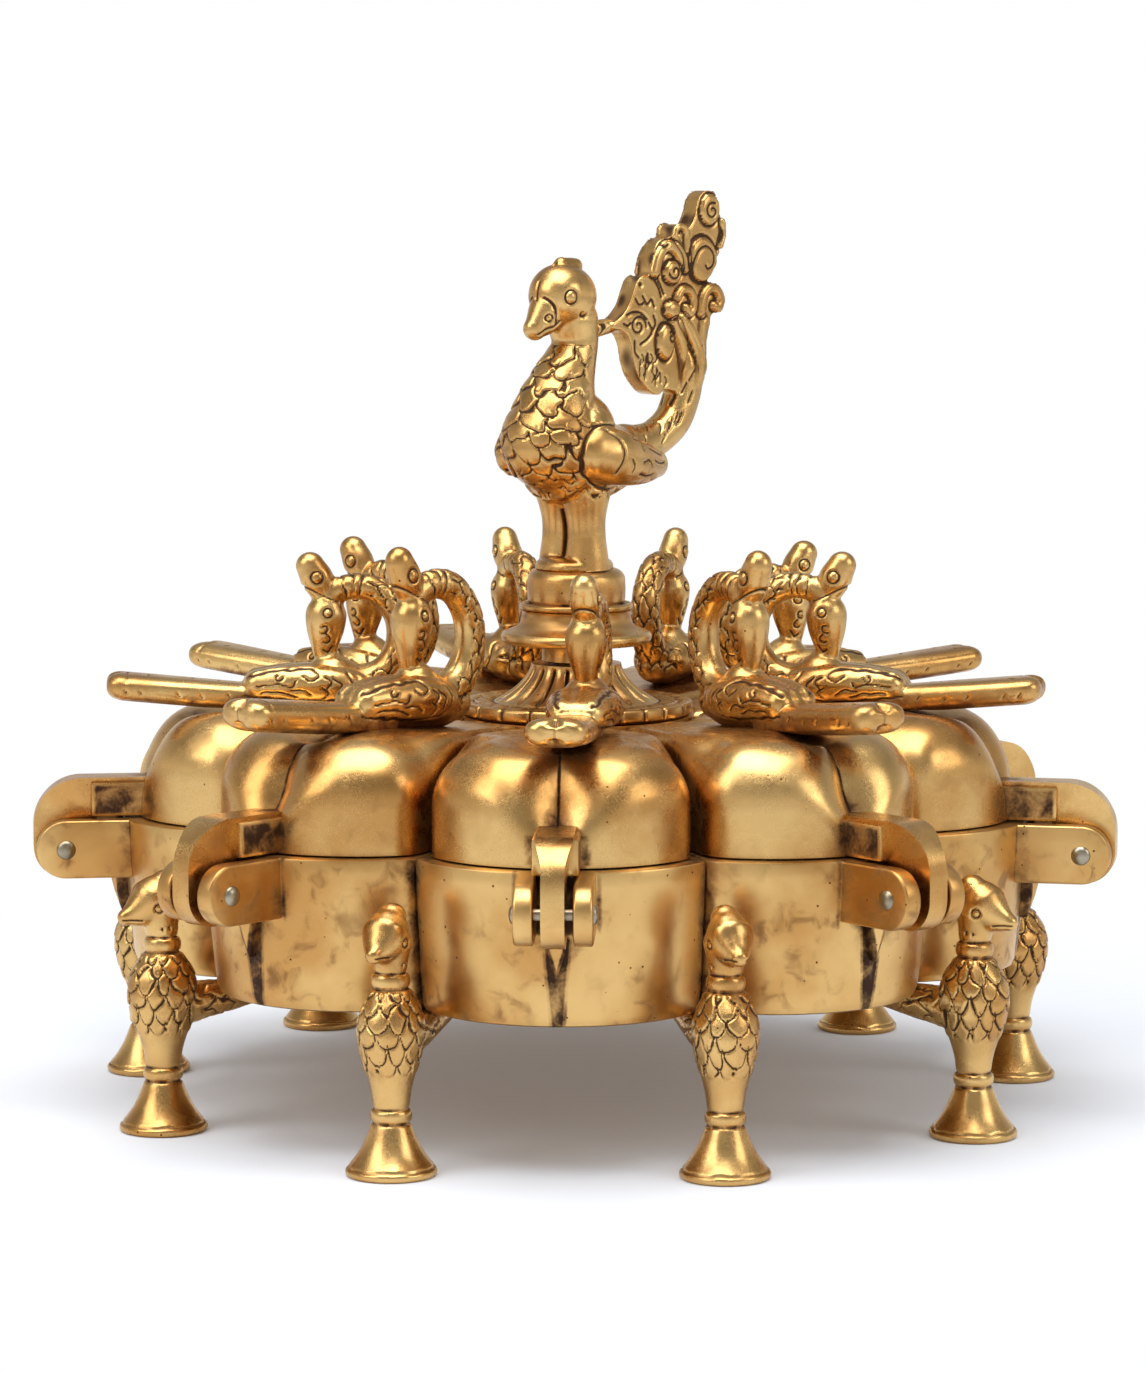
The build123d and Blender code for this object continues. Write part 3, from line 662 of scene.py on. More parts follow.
class Flow:
    """A number that changes over a surface; sums and products add Math nodes."""

    def __init__(self, paint: "Paint", socket: bpy.types.NodeSocket) -> None:
        """Wrap one output socket of a node tree."""
        self.paint = paint
        self.socket = socket

    def math(self, operation: str, *others: "Flow | float", first: bool = True) -> "Flow":
        """Join this number with others in one Math node.

        Args:
            operation: The Math node's operation.
            others: Its other inputs.
            first: Whether this number is the first input.

        Returns:
            The result.
        """
        values = [self, *others] if first else [*others, self]
        return self.paint.node("ShaderNodeMath", {"operation": operation},
                               dict(enumerate(values)))

    def __add__(self, other: "Flow | float") -> "Flow":
        """Sum."""
        return self.math("ADD", other)

    def __sub__(self, other: "Flow | float") -> "Flow":
        """Difference."""
        return self.math("SUBTRACT", other)

    def __rsub__(self, other: float) -> "Flow":
        """Difference with a number first."""
        return self.math("SUBTRACT", other, first=False)

    def __mul__(self, other: "Flow | float") -> "Flow":
        """Product."""
        return self.math("MULTIPLY", other)

    __radd__ = __add__
    __rmul__ = __mul__

    def size(self) -> "Flow":
        """Absolute value."""
        return self.math("ABSOLUTE")

    def most(self, other: "Flow | float") -> "Flow":
        """The larger of two."""
        return self.math("MAXIMUM", other)

    def band(self, start: float, full: float, fade: float, end: float) -> "Flow":
        """Ease in from start to full, and out again from fade to end."""
        return self.ease(start, full) * self.ease(end, fade)

    def ease(self, low: float, high: float) -> "Flow":
        """Ease from 0 at low to 1 at high; low may be above high."""
        return self.paint.node(
            "ShaderNodeMapRange", {"interpolation_type": "SMOOTHSTEP"},
            {0: self, 1: low, 2: high, 3: 0.0, 4: 1.0})


class Paint:
    """Builds the nodes of one finish, or of the world."""

    def __init__(self, owner: bpy.types.Material | bpy.types.World) -> None:
        """Clear the nodes of a material or world, ready for new ones."""
        owner.use_nodes = True
        self.tree = owner.node_tree
        self.tree.nodes.clear()

    @staticmethod
    def ramp(made: bpy.types.Node, stops: Sequence[tuple[float, Colour]]) -> None:
        """Set the stops of a colour ramp, its first and last included.

        Args:
            made: The ramp's node.
            stops: Place and colour of each stop, in order.
        """
        held = made.color_ramp.elements
        (held[0].position, held[0].color), *between, (held[1].position, held[1].color) = stops
        for place, colour in between:
            held.new(place).color = colour

    def node(self, kind: str, settings: dict[str, Any] | None = None,
             inputs: dict[int | str, Any] | None = None, out: int | str = 0) -> Flow:
        """Add one node.

        Args:
            kind: Type of the node.
            settings: Its own settings and a ramp's stops, set first.
            inputs: Values or links of its sockets.
            out: The output that is wanted.

        Returns:
            That output.
        """
        made = self.tree.nodes.new(kind)
        for name, value in (settings or {}).items():
            if name == "stops":
                Paint.ramp(made, value)
            else:
                setattr(made, name, value)
        for key, value in (inputs or {}).items():
            if isinstance(value, Flow):
                self.tree.links.new(value.socket, made.inputs[key])
            else:
                made.inputs[key].default_value = value
        return Flow(self, made.outputs[out]) if len(made.outputs) else Flow(self, None)

    def mix(self, share: Flow | float, first: Any, second: Any) -> Flow:
        """Mix two colours by a share from 0 to 1."""
        return self.node("ShaderNodeMix", {"data_type": "RGBA"},
                         {0: share, 6: first, 7: second}, 2)

    def stored(self, name: str, out: str = "Fac") -> Flow:
        """A number or place stored on the vertices."""
        return self.node("ShaderNodeAttribute", {"attribute_name": name}, {}, out)

    def noise(self, where: Flow, scale: float, detail: float = 3.0, bend: float = 0.0) -> Flow:
        """Cloudy noise, about 0.3 to 0.7."""
        return self.node("ShaderNodeTexNoise", {}, {
            "Vector": where, "Scale": scale, "Detail": detail, "Distortion": bend}, "Fac")

    def cells(self, where: Flow, scale: float, out: str = "Distance") -> Flow:
        """Distance from scattered points, or the chance colour of the nearest."""
        return self.node("ShaderNodeTexVoronoi", {"feature": "F1"}, {
            "Vector": where, "Scale": scale}, out)

    def parts(self, where: Flow) -> tuple[Flow, Flow, Flow]:
        """The three numbers of a place."""
        split = self.node("ShaderNodeSeparateXYZ", {}, {0: where})
        outputs = split.socket.node.outputs
        return tuple(Flow(self, outputs[i]) for i in range(3))


Mask = Callable[[Paint, Flow, Flow, Flow], Flow]


def tone(red: int, green: int, blue: int) -> Colour:
    """Colour of a screen value from 0 to 255.

    Args:
        red: Red share.
        green: Green share.
        blue: Blue share.

    Returns:
        The same colour in linear light.
    """
    def linear(value: float) -> float:
        """One channel in linear light."""
        value /= 255.0
        return value / 12.92 if value < 0.04045 else ((value + 0.055) / 1.055) ** 2.4

    return (linear(red), linear(green), linear(blue), 1.0)


@dataclass(frozen=True)
class Brass:
    """Old cast brass: polished where hands reach and brown where they don't, with painted shade in
    gaps, hollows and corners.

    Attributes:
        name: Name of the finish.
        gold: Colour of the polished metal.
        honey: Deeper colour that the gold drifts to in clouds.
        umber: Colour of the brown stains and patina, and of the painted shade, in corners.
        deep_brown: Darkest brown, for the patina in grooves and the deepest stains and painted
            shade.
        rough: Roughness of the polished metal.
        scratches: Strength of the curly rubbing marks.
        pits: Share of the small dark casting pits.
        clouds: How much brown lies over open faces.
        engraved: Whether the piece has grooves and hollows stored on it.
        mask: Where this piece is brown with stains and patina or dark with painted shade, from its
            own x, y and z.
    """

    name: str
    gold: Colour = tone(221, 181, 116)
    honey: Colour = tone(196, 147, 84)
    umber: Colour = tone(108, 62, 28)
    deep_brown: Colour = tone(58, 34, 17)
    rough: float = 0.29
    scratches: float = 0.5
    pits: float = 0.5
    clouds: float = 0.35
    engraved: bool = False
    mask: Mask | None = None

    def build(self) -> bpy.types.Material:
        """Lay the layers of the finish over each other.

        Returns:
            The material.
        """
        material = bpy.data.materials.new(self.name)
        paint = Paint(material)
        here = paint.node("ShaderNodeTexCoord", {}, {}, "Object")
        where = paint.node("ShaderNodeVectorMath", {"operation": "SCALE"}, {0: here, 3: 1000.0})
        broad = paint.noise(where, 0.045, 4.0)
        middle = paint.noise(where, 0.22, 5.0, 0.6)
        fine = paint.noise(where, 1.6, 3.0)
        # Brown share: random clouds of dirt, then the mask's stains, patina and painted shade.
        dirt_and_shade = middle.ease(0.51, 0.74) * self.clouds * broad.ease(0.3, 0.58)
        if self.mask:
            x, y, z = paint.parts(paint.stored("spot", "Vector"))
            ragged = (middle - 0.5) * 1.5 + (fine - 0.5) * 0.35
            brown = self.mask(paint, x, y, z)
            dirt_and_shade = dirt_and_shade.most((brown + ragged * brown.ease(0.0, 0.3)).ease(0.12, 0.95))
        if self.engraved:
            groove = paint.stored("groove")
            # Hollows turn brown: partly patina, partly painted shade; deep grooves hold patina.
            dished = paint.stored("hollow").ease(0.02, 0.42)
            dirt_and_shade = dirt_and_shade.most(dished * 0.78).most(groove.ease(0.25, 0.8) * 0.96)
            dark_tint = paint.mix(groove.ease(0.3, 0.8), self.umber, self.deep_brown)
        else:
            # The deepest stains and painted shade of a mask take the darkest brown.
            dark_tint = paint.mix(dirt_and_shade.ease(0.5, 1.0), self.umber, self.deep_brown)
        seldom = 1.0 - self.pits * 0.5
        rare = paint.parts(paint.cells(where, 0.42, "Color"))[0].ease(seldom, seldom + 0.05)
        pit = paint.cells(where, 0.42).ease(0.13, 0.06) * rare
        swirl = (paint.noise(where, 0.62, 1.0, 1.8) - 0.5).size().ease(0.012, 0.0)
        curls = (paint.noise(where, 1.15, 1.0, 2.4) - 0.5).size().ease(0.02, 0.0)
        wear = paint.noise(where, 0.14, 2.0).ease(0.4, 0.6)
        hair = swirl.most(curls * 0.7) * wear * self.scratches
        metal = paint.mix(broad.ease(0.36, 0.64), self.gold, self.honey)
        metal = paint.mix(hair * 0.32, metal, tone(240, 212, 156))
        colour = paint.mix(dirt_and_shade.most(pit), metal, dark_tint)
        rough = middle * 0.14 + (self.rough - 0.07) + dirt_and_shade * 0.25 + hair * 0.1 + pit * 0.3
        height = fine * 0.1 + middle * 0.5 - pit * 0.5 - hair * 0.24
        bump = paint.node("ShaderNodeBump", {}, {
            "Strength": 0.2, "Distance": 0.0004, "Height": height}, "Normal")
        shader = paint.node("ShaderNodeBsdfPrincipled", {}, {
            "Base Color": colour, "Metallic": 1.0 - dirt_and_shade * 0.3, "Roughness": rough,
            "Normal": bump}, "BSDF")
        paint.node("ShaderNodeOutputMaterial", {}, {"Surface": shader})
        return material


class Finishes:
    """Every finish of the box, built once."""

    def __init__(self) -> None:
        """Build the finishes."""
        self.cup = Brass("cast_cup_brass", mask=self.cup_stains_and_shade, clouds=0.6,
                         pits=0.6, rough=0.32).build()
        self.lid = Brass("polished_lid_brass", mask=self.lid_patina_and_shade, clouds=0.2,
                         rough=0.27, scratches=0.8, pits=0.3).build()
        self.carved = Brass("carved_bird_brass", engraved=True, rough=0.26, clouds=0.3,
                            pits=0.3).build()
        self.bird = Brass("lid_bird_brass", engraved=True, mask=self.bird_contact_shade, rough=0.26,
                          clouds=0.4, pits=0.3).build()
        self.turned = Brass("turned_stand_brass", engraved=True, rough=0.28,
                            clouds=0.45).build()
        self.pin = Brass("grey_pin_metal", gold=tone(176, 168, 150), honey=tone(150, 138, 116),
                         umber=tone(70, 58, 44), rough=0.3, clouds=0.2).build()
        self.hidden = Brass("dull_under_brass", rough=0.42, clouds=0.8).build()

    @staticmethod
    def cup_stains_and_shade(paint: Paint, x: Flow, y: Flow, z: Flow) -> Flow:
        """Brown of a cup: stain streak under the hinge and ear roots, with painted shade in the
        hinge gap, under the hinge and beside the seams.

        Args:
            paint: The finish being built.
            x: Distance outwards from the axis.
            y: Distance sideways.
            z: Height above the table.

        Returns:
            The share of brown and painted shade.
        """
        side = y.size()
        half = z * 0.085 - 1.35
        front = z.ease(49.0, 47.0) * x.ease(86.0, 90.0)
        nib = (side - (z - 41.6) * 0.3).ease(-0.3, 0.3)
        streak = (half - side).ease(-0.5, 0.5) * front * 0.8 * nib
        border = (half - side).size().ease(0.9, 0.1) * front * 0.5
        root = (side - 8.0).size().ease(1.2, 0.0) * x.band(90.0, 93.5, 95.2, 98.0)
        root = root * z.ease(44.0, 50.0) * 0.6
        # Painted shade in the gap between the ears and the lid's strap; from here root holds it
        # too.
        gap = side.ease(5.6, 4.6) * z.band(47.0, 48.5, 59.0, 60.6)
        root = root.most(gap * x.band(90.0, 93.5, 95.5, 97.5))
        # Painted shade under the hinge.
        under = side.ease(9.0, 4.0) * z.band(38.0, 48.0, 50.0, 62.0)
        under = under * x.band(90.0, 93.5, 95.0, 97.0) * 0.42
        # Beside each seam: painted shade and a painted dark reflection of the neighbouring cup.
        seam_shade = (x * SLOPE - side).ease(3.4, 0.1) * x.ease(60.0, 70.0) * 0.62
        return streak.most(border).most(root).most(seam_shade).most(under)

    @staticmethod
    def bird_contact_shade(paint: Paint, x: Flow, y: Flow, z: Flow) -> Flow:
        """Painted shade of a lid bird, low down where it meets the lid."""
        low = z.ease(86.5, 83.2) * 0.7
        return low.most(z.ease(88.0, 85.0) * x.band(64.0, 69.0, 70.0, 76.0) * 0.6)

    @staticmethod
    def lid_patina_and_shade(paint: Paint, x: Flow, y: Flow, z: Flow) -> Flow:
        """Brown of a lid: patina in the crease and dirt at the arm root, with a painted shadow of
        the bird's tail, painted shade beside the block and a painted dark reflection of the
        neighbours on the sides.

        Args:
            paint: The finish being built.
            x: Distance outwards from the axis.
            y: Distance sideways.
            z: Height above the table.

        Returns:
            The share of brown and painted shade.
        """
        side = y.size()
        crease = side.ease(0.6, 0.1) * x.band(72.0, 80.0, 91.0, 96.0) * 0.85
        haze = side.ease(5.0, 0.3) * x.band(80.0, 84.0, 91.0, 96.0) * z.ease(76.0, 68.5)
        # Painted shadow of the bird's tail on the top by the crease; root holds it from the next
        # lines on.
        shade = side.ease(10.0, 2.0) * z.ease(75.0, 80.5) * x.ease(72.0, 80.0) * 0.4
        root = side.ease(6.4, 4.2) * z.ease(69.5, 66.0) * x.ease(84.0, 88.0) * 0.7
        root = root.most(shade) * x.ease(99.5, 93.0)
        # Painted dark reflection of the neighbouring lids on the sides.
        neighbour_reflection = (x * SLOPE - side).ease(4.0, 0.8) * z.ease(80.0, 66.0) * x.ease(86.0, 66.0) * 0.5
        # Painted shade on the block's sides and the wall beside them.
        block = side.band(3.9, 4.4, 5.2, 7.5) * x.band(88.0, 91.0, 100.5, 101.5)
        block = block * z.band(60.3, 61.3, 66.3, 67.3) * 0.7
        return crease.most(haze * 0.6).most(root).most(neighbour_reflection).most(block)


class Placer:
    """Sets finished pieces round the box and ties them to the frame."""

    @staticmethod
    def dress(piece: Piece, name: str, body: str, finish: bpy.types.Material, slot: Slot,
              replaced: Sequence[str]) -> Piece:
        """Name a piece, give it its finish and tie it to the frame.

        Args:
            piece: The piece, in metres and in place.
            name: Its name.
            body: The CAD body that it rides on.
            finish: Its material.
            slot: The record's slot of that material; not used.
            replaced: The CAD nodes that it stands for.

        Returns:
            The piece.
        """
        piece.name = piece.data.name = name
        piece.data.materials.clear()
        piece.data.materials.append(finish)
        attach(piece, body)
        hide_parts(*replaced)
        log.info("%s: %d faces, rides on %s", name, len(piece.data.polygons), body)
        return piece

    @staticmethod
    def round(pattern: Piece, name: str, node: str, bodies: Callable[[int], str],
              finish: bpy.types.Material, slot: Slot, shift: float = 0.0,
              twists: Sequence[float] = (0.0,) * PETALS, pivot: float = 0.0,
              seat: float = 0.0, stretch: Sequence[float] = (1.0,) * PETALS) -> None:
        """Copy a piece to every petal, each copy with its own mesh.

        Args:
            pattern: The piece, drawn on a petal that points along +X, in millimetres.
            name: Name of the copies, before their number.
            node: Name of the CAD nodes they stand for, before their number.
            bodies: Gives the body for a petal's number.
            finish: Material of the copies.
            slot: The record's slot of that material, handed on to dress, which does not use it.
            shift: Extra turn of every copy, in radians.
            twists: How far each copy sits askew, in degrees.
            pivot: Distance from the axis of the point that it is turned about.
            seat: Height that the copies stand on.
            stretch: How tall each copy is above its seat.
        """
        out = Matrix.Translation((pivot, 0.0, seat))
        for index, (twist, tall) in enumerate(zip(twists, stretch)):
            Bench.pick(pattern)
            bpy.ops.object.duplicate()
            piece = bpy.context.object
            turn = Matrix.Rotation(FIRST_PETAL + index * STEP + shift, 4, "Z")
            askew = (out @ Matrix.Rotation(math.radians(twist), 4, "Z")
                     @ Matrix.Diagonal((1.0, 1.0, tall, 1.0)) @ out.inverted())
            piece.data.transform(Matrix.Scale(MM, 4) @ turn @ askew)
            Placer.dress(piece, f"{name}_{index + 1}", bodies(index + 1), finish, slot,
                         [f"{node}_{index + 1}"])
        bpy.data.objects.remove(pattern)


@dataclass(frozen=True)
class Outline:
    """Plan of one petal.

    Attributes:
        lobe: Distance of the round end's middle from the axis.
        end: Radius of the round end.
        side_gap: Distance of the straight sides inside the seams.
        inner: Radius of the inner arc.
        corner: Rounding between the sides and the end.
        middle: Point from which the outline is seen all round.
    """

    lobe: float
    end: float
    side_gap: float
    inner: float
    corner: float
    middle: float = 60.0

    def ring(self, turns: np.ndarray, inset: np.ndarray | float = 0.0) -> np.ndarray:
        """Points of the outline.

        Args:
            turns: Direction of each point from the middle, in radians.
            inset: How far each point lies inside the outline.

        Returns:
            Rows (x, y).
        """
        near, far = np.zeros(len(turns)), np.full(len(turns), 60.0)
        for _ in range(42):
            reach = (near + far) / 2.0
            out = self.outside(self.middle + reach * np.cos(turns),
                               reach * np.sin(turns)) + inset > 0.0
            near, far = np.where(out, near, reach), np.where(out, reach, far)
        return np.column_stack([self.middle + near * np.cos(turns), near * np.sin(turns)])

    def outside(self, x: np.ndarray, y: np.ndarray) -> np.ndarray:
        """How far points lie outside the outline.

        Args:
            x: Distance of each point outwards.
            y: Its distance sideways.

        Returns:
            One distance a point, below 0 inside.
        """
        side = np.abs(y) * math.cos(HALF) - x * math.sin(HALF) + self.side_gap
        notch = self.lobe + (self.end**2 - self.lobe**2 * math.sin(HALF) ** 2) ** 0.5 * 0.42
        end = np.where(x > notch, np.hypot(x - self.lobe, y) - self.end, -60.0)
        blend = max(self.corner, 1e-3)
        mixed = np.maximum(side, end) + np.maximum(blend - np.abs(side - end), 0.0) ** 2 / (
            4.0 * blend)
        return np.maximum(mixed, self.inner - np.hypot(x, y))


@dataclass
class PetalLids:
    """Nine hollow lids, each with its crease, strap and knuckle."""

    edge: float = 60.35
    top: float = 82.75
    end: float = 91.8
    tip: float = 25.0
    crest: float = 65.0
    tip_drop: float = 2.9
    wall: float = 2.2
    bulb: float = 12.5
    rim: float = 2.4
    crease_depth: float = 6.6
    crease_half: float = 19.0
    pin_circle: float = 107.0
    pin_height: float = 53.9
    pin_bore: float = 1.2
    strap: float = 4.5
    flare: float = 7.3
    knuckle: float = 6.5
    strap_top: float = 14.4
    strap_curve: float = 10.0
    block_end: float = 101.7
    block: float = 9.0
    points: int = 200

    def top_at(self, x: np.ndarray) -> np.ndarray:
        """Height of the flat top at a distance from the axis."""
        fall = self.tip_drop / (self.crest - self.tip)
        return self.top - fall * np.maximum(self.crest - x, 0.0)

    def crease(self, places: np.ndarray) -> np.ndarray:
        """Press the V-shaped crease between the two bulges of the petal's end.

        Args:
            places: Points of the plain dome.

        Returns:
            The pressed points.
        """
        x, y, z = places.T
        half = 7.0 + (self.crease_half - 7.0) * smooth(z, 63.0, 78.0)
        valley = np.clip(1.0 - np.abs(y) / half, 0.0, 1.0) ** 2.2
        depth = self.crease_depth * valley * smooth(x, 64.0, 84.0) * smooth(z, 61.0, 73.0)
        lean = smooth(x, 90.0, 77.0)
        moved = places.copy()
        moved[:, 0] -= depth * (1.0 - 0.6 * lean)
        moved[:, 2] -= depth * lean * 0.5
        return moved

    def dome(self) -> Piece:
        """Shell of the lid, open below."""
        share = np.arange(self.points) / self.points * 2.0 * math.pi
        turns = share - 0.5 * np.sin(share)
        plan = Outline(LOBE, self.end - LOBE, 1.0, self.tip, 3.6)
        base = plan.ring(turns)
        radius = self.rim + (self.bulb - self.rim) * smooth(base[:, 0], 52.0, 74.0)
        rings = []
        for level in np.linspace(0.0, 1.0, 9):
            low = self.top_at(base[:, 0]) - radius
            rings.append(np.column_stack([base, self.edge + (low - self.edge) * level]))
        for bend in np.linspace(0.0, math.pi / 2.0, 14)[1:]:
            flat = plan.ring(turns, radius * (1.0 - math.cos(bend)))
            height = self.top_at(flat[:, 0]) - radius * (1.0 - math.sin(bend))
            rings.append(np.column_stack([flat, height]))
        last = rings[-1]
        spine = np.clip(last[:, 0], self.tip + 8.0, 74.0)
        for share in np.linspace(0.0, 1.0, 14)[1:]:
            x = last[:, 0] + (spine - last[:, 0]) * share
            y = last[:, 1] * (1.0 - share)
            rings.append(np.column_stack([x, y, self.top_at(x)]))
        rings = [self.crease(ring) for ring in rings]
        shell = Bench.skin(rings, open_end=True)
        Bench.apply(shell, "SOLIDIFY", thickness=self.wall, offset=-1.0,
                    use_even_offset=False, use_rim=True)
        return shell

    def arm(self) -> Piece:
        """Strap that flares into the lid and ends in the knuckle, with its side block."""
        top = self.pin_height + self.strap_top
        root = self.end - 5.4
        curve_x = self.pin_circle + self.knuckle - self.strap_curve
        curve_z = top - self.strap_curve
        back = self.pin_circle - self.knuckle
        low = self.edge
        sections: list[tuple[float, float, float, float, float]] = [
            (root, top, self.flare, root, low), (back - 1.0, top, self.flare, back - 1.0, low)]
        for angle in np.linspace(0.0, math.pi / 2.0, 16):
            width = self.strap + (self.flare - self.strap) * (1.0 - smooth(angle, 0.2, 1.15))
            sections.append((curve_x + self.strap_curve * math.sin(angle),
                             curve_z + self.strap_curve * math.cos(angle), width,
                             back, low + (self.pin_height + 2.0 - low) * angle / 1.5708))
        for angle in np.linspace(0.0, math.pi, 20):
            sections.append((self.pin_circle + self.knuckle * math.cos(angle),
                             self.pin_height - self.knuckle * math.sin(angle), self.strap,
                             back + 0.02, self.pin_height + 2.0 - 1.4 * angle / math.pi))
        rings = [np.array([(ox, -w / 2, oz), (ox, w / 2, oz), (ix, self.strap / 2, iz),
                           (ix, -self.strap / 2, iz)]) for ox, oz, w, ix, iz in sections]
        strap = Bench.bevel(Bench.skin(rings), 0.5, 3, 40.0)
        half = self.block / 2.0
        block = Bench.bevel(Bench.block((root, -half, self.edge),
                                        (self.block_end, half, top - 0.9)), 0.5, 2)
        return Bench.combine(strap, block, "UNION")

    def build(self, finishes: Finishes) -> None:
        """Make the pattern lid and set it on every petal.

        Args:
            finishes: The box's finishes.
        """
        lid = Bench.combine(self.dome(), self.arm(), "UNION")
        lid = Bench.drill(lid, self.pin_circle, self.pin_height, 8.0, self.pin_bore)
        Bench.outward(lid)
        Bench.shade(lid, 40.0)
        Store.place(lid)
        Placer.round(lid, "petal_lid", "lid", lambda n: f"petal_lid_{n}", finishes.lid, Slot.LID)


@dataclass
class PetalCups:
    """Nine open cups with ears and the cast spur under the hinge."""

    bottom: float = 29.6
    rim: float = 60.0
    wall: float = 4.4
    side_wall: float = 2.4
    floor: float = 3.0
    radius: float = 95.0
    hub: float = 23.7
    taper: float = 2.4
    pin_circle: float = 107.0
    pin_height: float = 53.9
    ear: float = 6.0
    ear_thick: float = 3.8
    ear_gap: float = 7.5
    pin_bore: float = 1.17
    points: int = 150

    def body(self) -> Piece:
        """Cup with its hollow."""
        turns = np.arange(self.points) / self.points * 2.0 * math.pi
        end, low = self.radius - LOBE, self.bottom + self.floor

        def wall(lean: float) -> Outline:
            """Plan of the outer wall where it leans in this far."""
            return Outline(LOBE, end - lean, 0.05, self.hub, 0.5)

        rings = [level(wall(self.taper).ring(turns, inset), self.bottom + rise)
                 for inset, rise in ((26.0, 0.0), (14.0, 0.0), (1.2, 0.0), (0.36, 0.36),
                                     (0.0, 1.2))]
        rings += [level(wall(self.taper * (1.0 - share) ** 1.6).ring(turns),
                        self.bottom + (self.rim - self.bottom) * share)
                  for share in np.linspace(0.06, 1.0, 10)[:-1]]
        rings += [level(wall(0.0).ring(turns, inset), self.rim - drop)
                  for inset, drop in ((0.0, 0.45), (0.13, 0.13), (0.45, 0.0))]
        bowl = Outline(LOBE, end - self.wall, self.side_wall, self.hub + 3.0, 8.0)
        rings += [level(bowl.ring(turns, inset), height) for inset, height in (
            (-0.4, self.rim), (0.0, self.rim - 0.4), (0.2, 52.0), (0.5, 42.0), (0.9, low + 4.0),
            (2.0, low + 1.2), (4.0, low), (14.0, low), (21.0, low))]
        return Bench.skin(rings)

    def ear_plate(self, middle: float) -> Piece:
        """Plate with a round end on one side of the knuckle.

        Args:
            middle: Distance of its middle plane sideways.

        Returns:
            The plate.
        """
        root = self.radius - self.wall / 2.0
        outline = [(root, self.pin_height + self.ear)]
        for angle in np.linspace(math.pi / 2.0, -math.pi / 2.0, 22):
            outline.append((self.pin_circle + self.ear * math.cos(angle),
                            self.pin_height + self.ear * math.sin(angle)))
        outline.append((root, self.pin_height - self.ear))
        half = self.ear_thick / 2.0
        rings = [np.array([(x, y, z) for x, z in outline])
                 for y in (middle - half, middle + half)]
        return Bench.bevel(Bench.skin(rings), 0.55, 3, 40.0)

    def spur(self) -> Piece:
        """Small cast nib that points down the cup's wall."""
        top = self.pin_height - self.ear
        face = self.radius
        rows = [(2.0, top + 0.4, 2.5), (2.0, top - 1.2, 2.5), (1.5, top - 3.6, 1.9),
                (0.7, top - 6.2, 1.0), (0.15, top - 8.2, 0.3)]
        rings = [np.array([(face - 2.6, -w, z), (face - 2.6, w, z), (face + p * 0.55, w, z),
                           (face + p, 0.0, z), (face + p * 0.55, -w, z)]) for w, z, p in rows]
        return Bench.bevel(Bench.skin(rings), 0.3, 2, 40.0)

    def build(self, finishes: Finishes) -> None:
        """Make the pattern cup and set it on every petal.

        Args:
            finishes: The box's finishes.
        """
        cup = self.body()
        offset = (self.ear_gap + self.ear_thick) / 2.0
        for middle in (-offset, offset):
            cup = Bench.combine(cup, self.ear_plate(middle), "UNION")
        cup = Bench.combine(cup, self.spur(), "UNION")
        cup = Bench.drill(cup, self.pin_circle, self.pin_height, 12.0, self.pin_bore)
        Bench.outward(cup)
        Bench.shade(cup, 40.0)
        Store.place(cup)
        Placer.round(cup, "petal_cup_shell", "petal_cup", lambda n: "box", finishes.cup,
                     Slot.CAST)


def carve(parts: Sequence[Piece], voxel: float, polish: int,
          engrave: Callable[[Piece], None], seat: Callable[[np.ndarray], np.ndarray]) -> Piece:
    """Fuse a cast figure, engrave it and flatten it where it is seated.

    Args:
        parts: Its overlapping limbs.
        voxel: Size of the skin's faces.
        polish: Passes that round off the joins.
        engrave: Works the skin.
        seat: Gives the height of each point for all the points.

    Returns:
        The figure, in millimetres.
    """
    figure = Bench.fuse(parts, voxel, polish)
    engrave(figure)
    places = Bench.read(figure)
    places[:, 2] = seat(places)
    Bench.write(figure, places)
    Store.place(figure)
    return figure


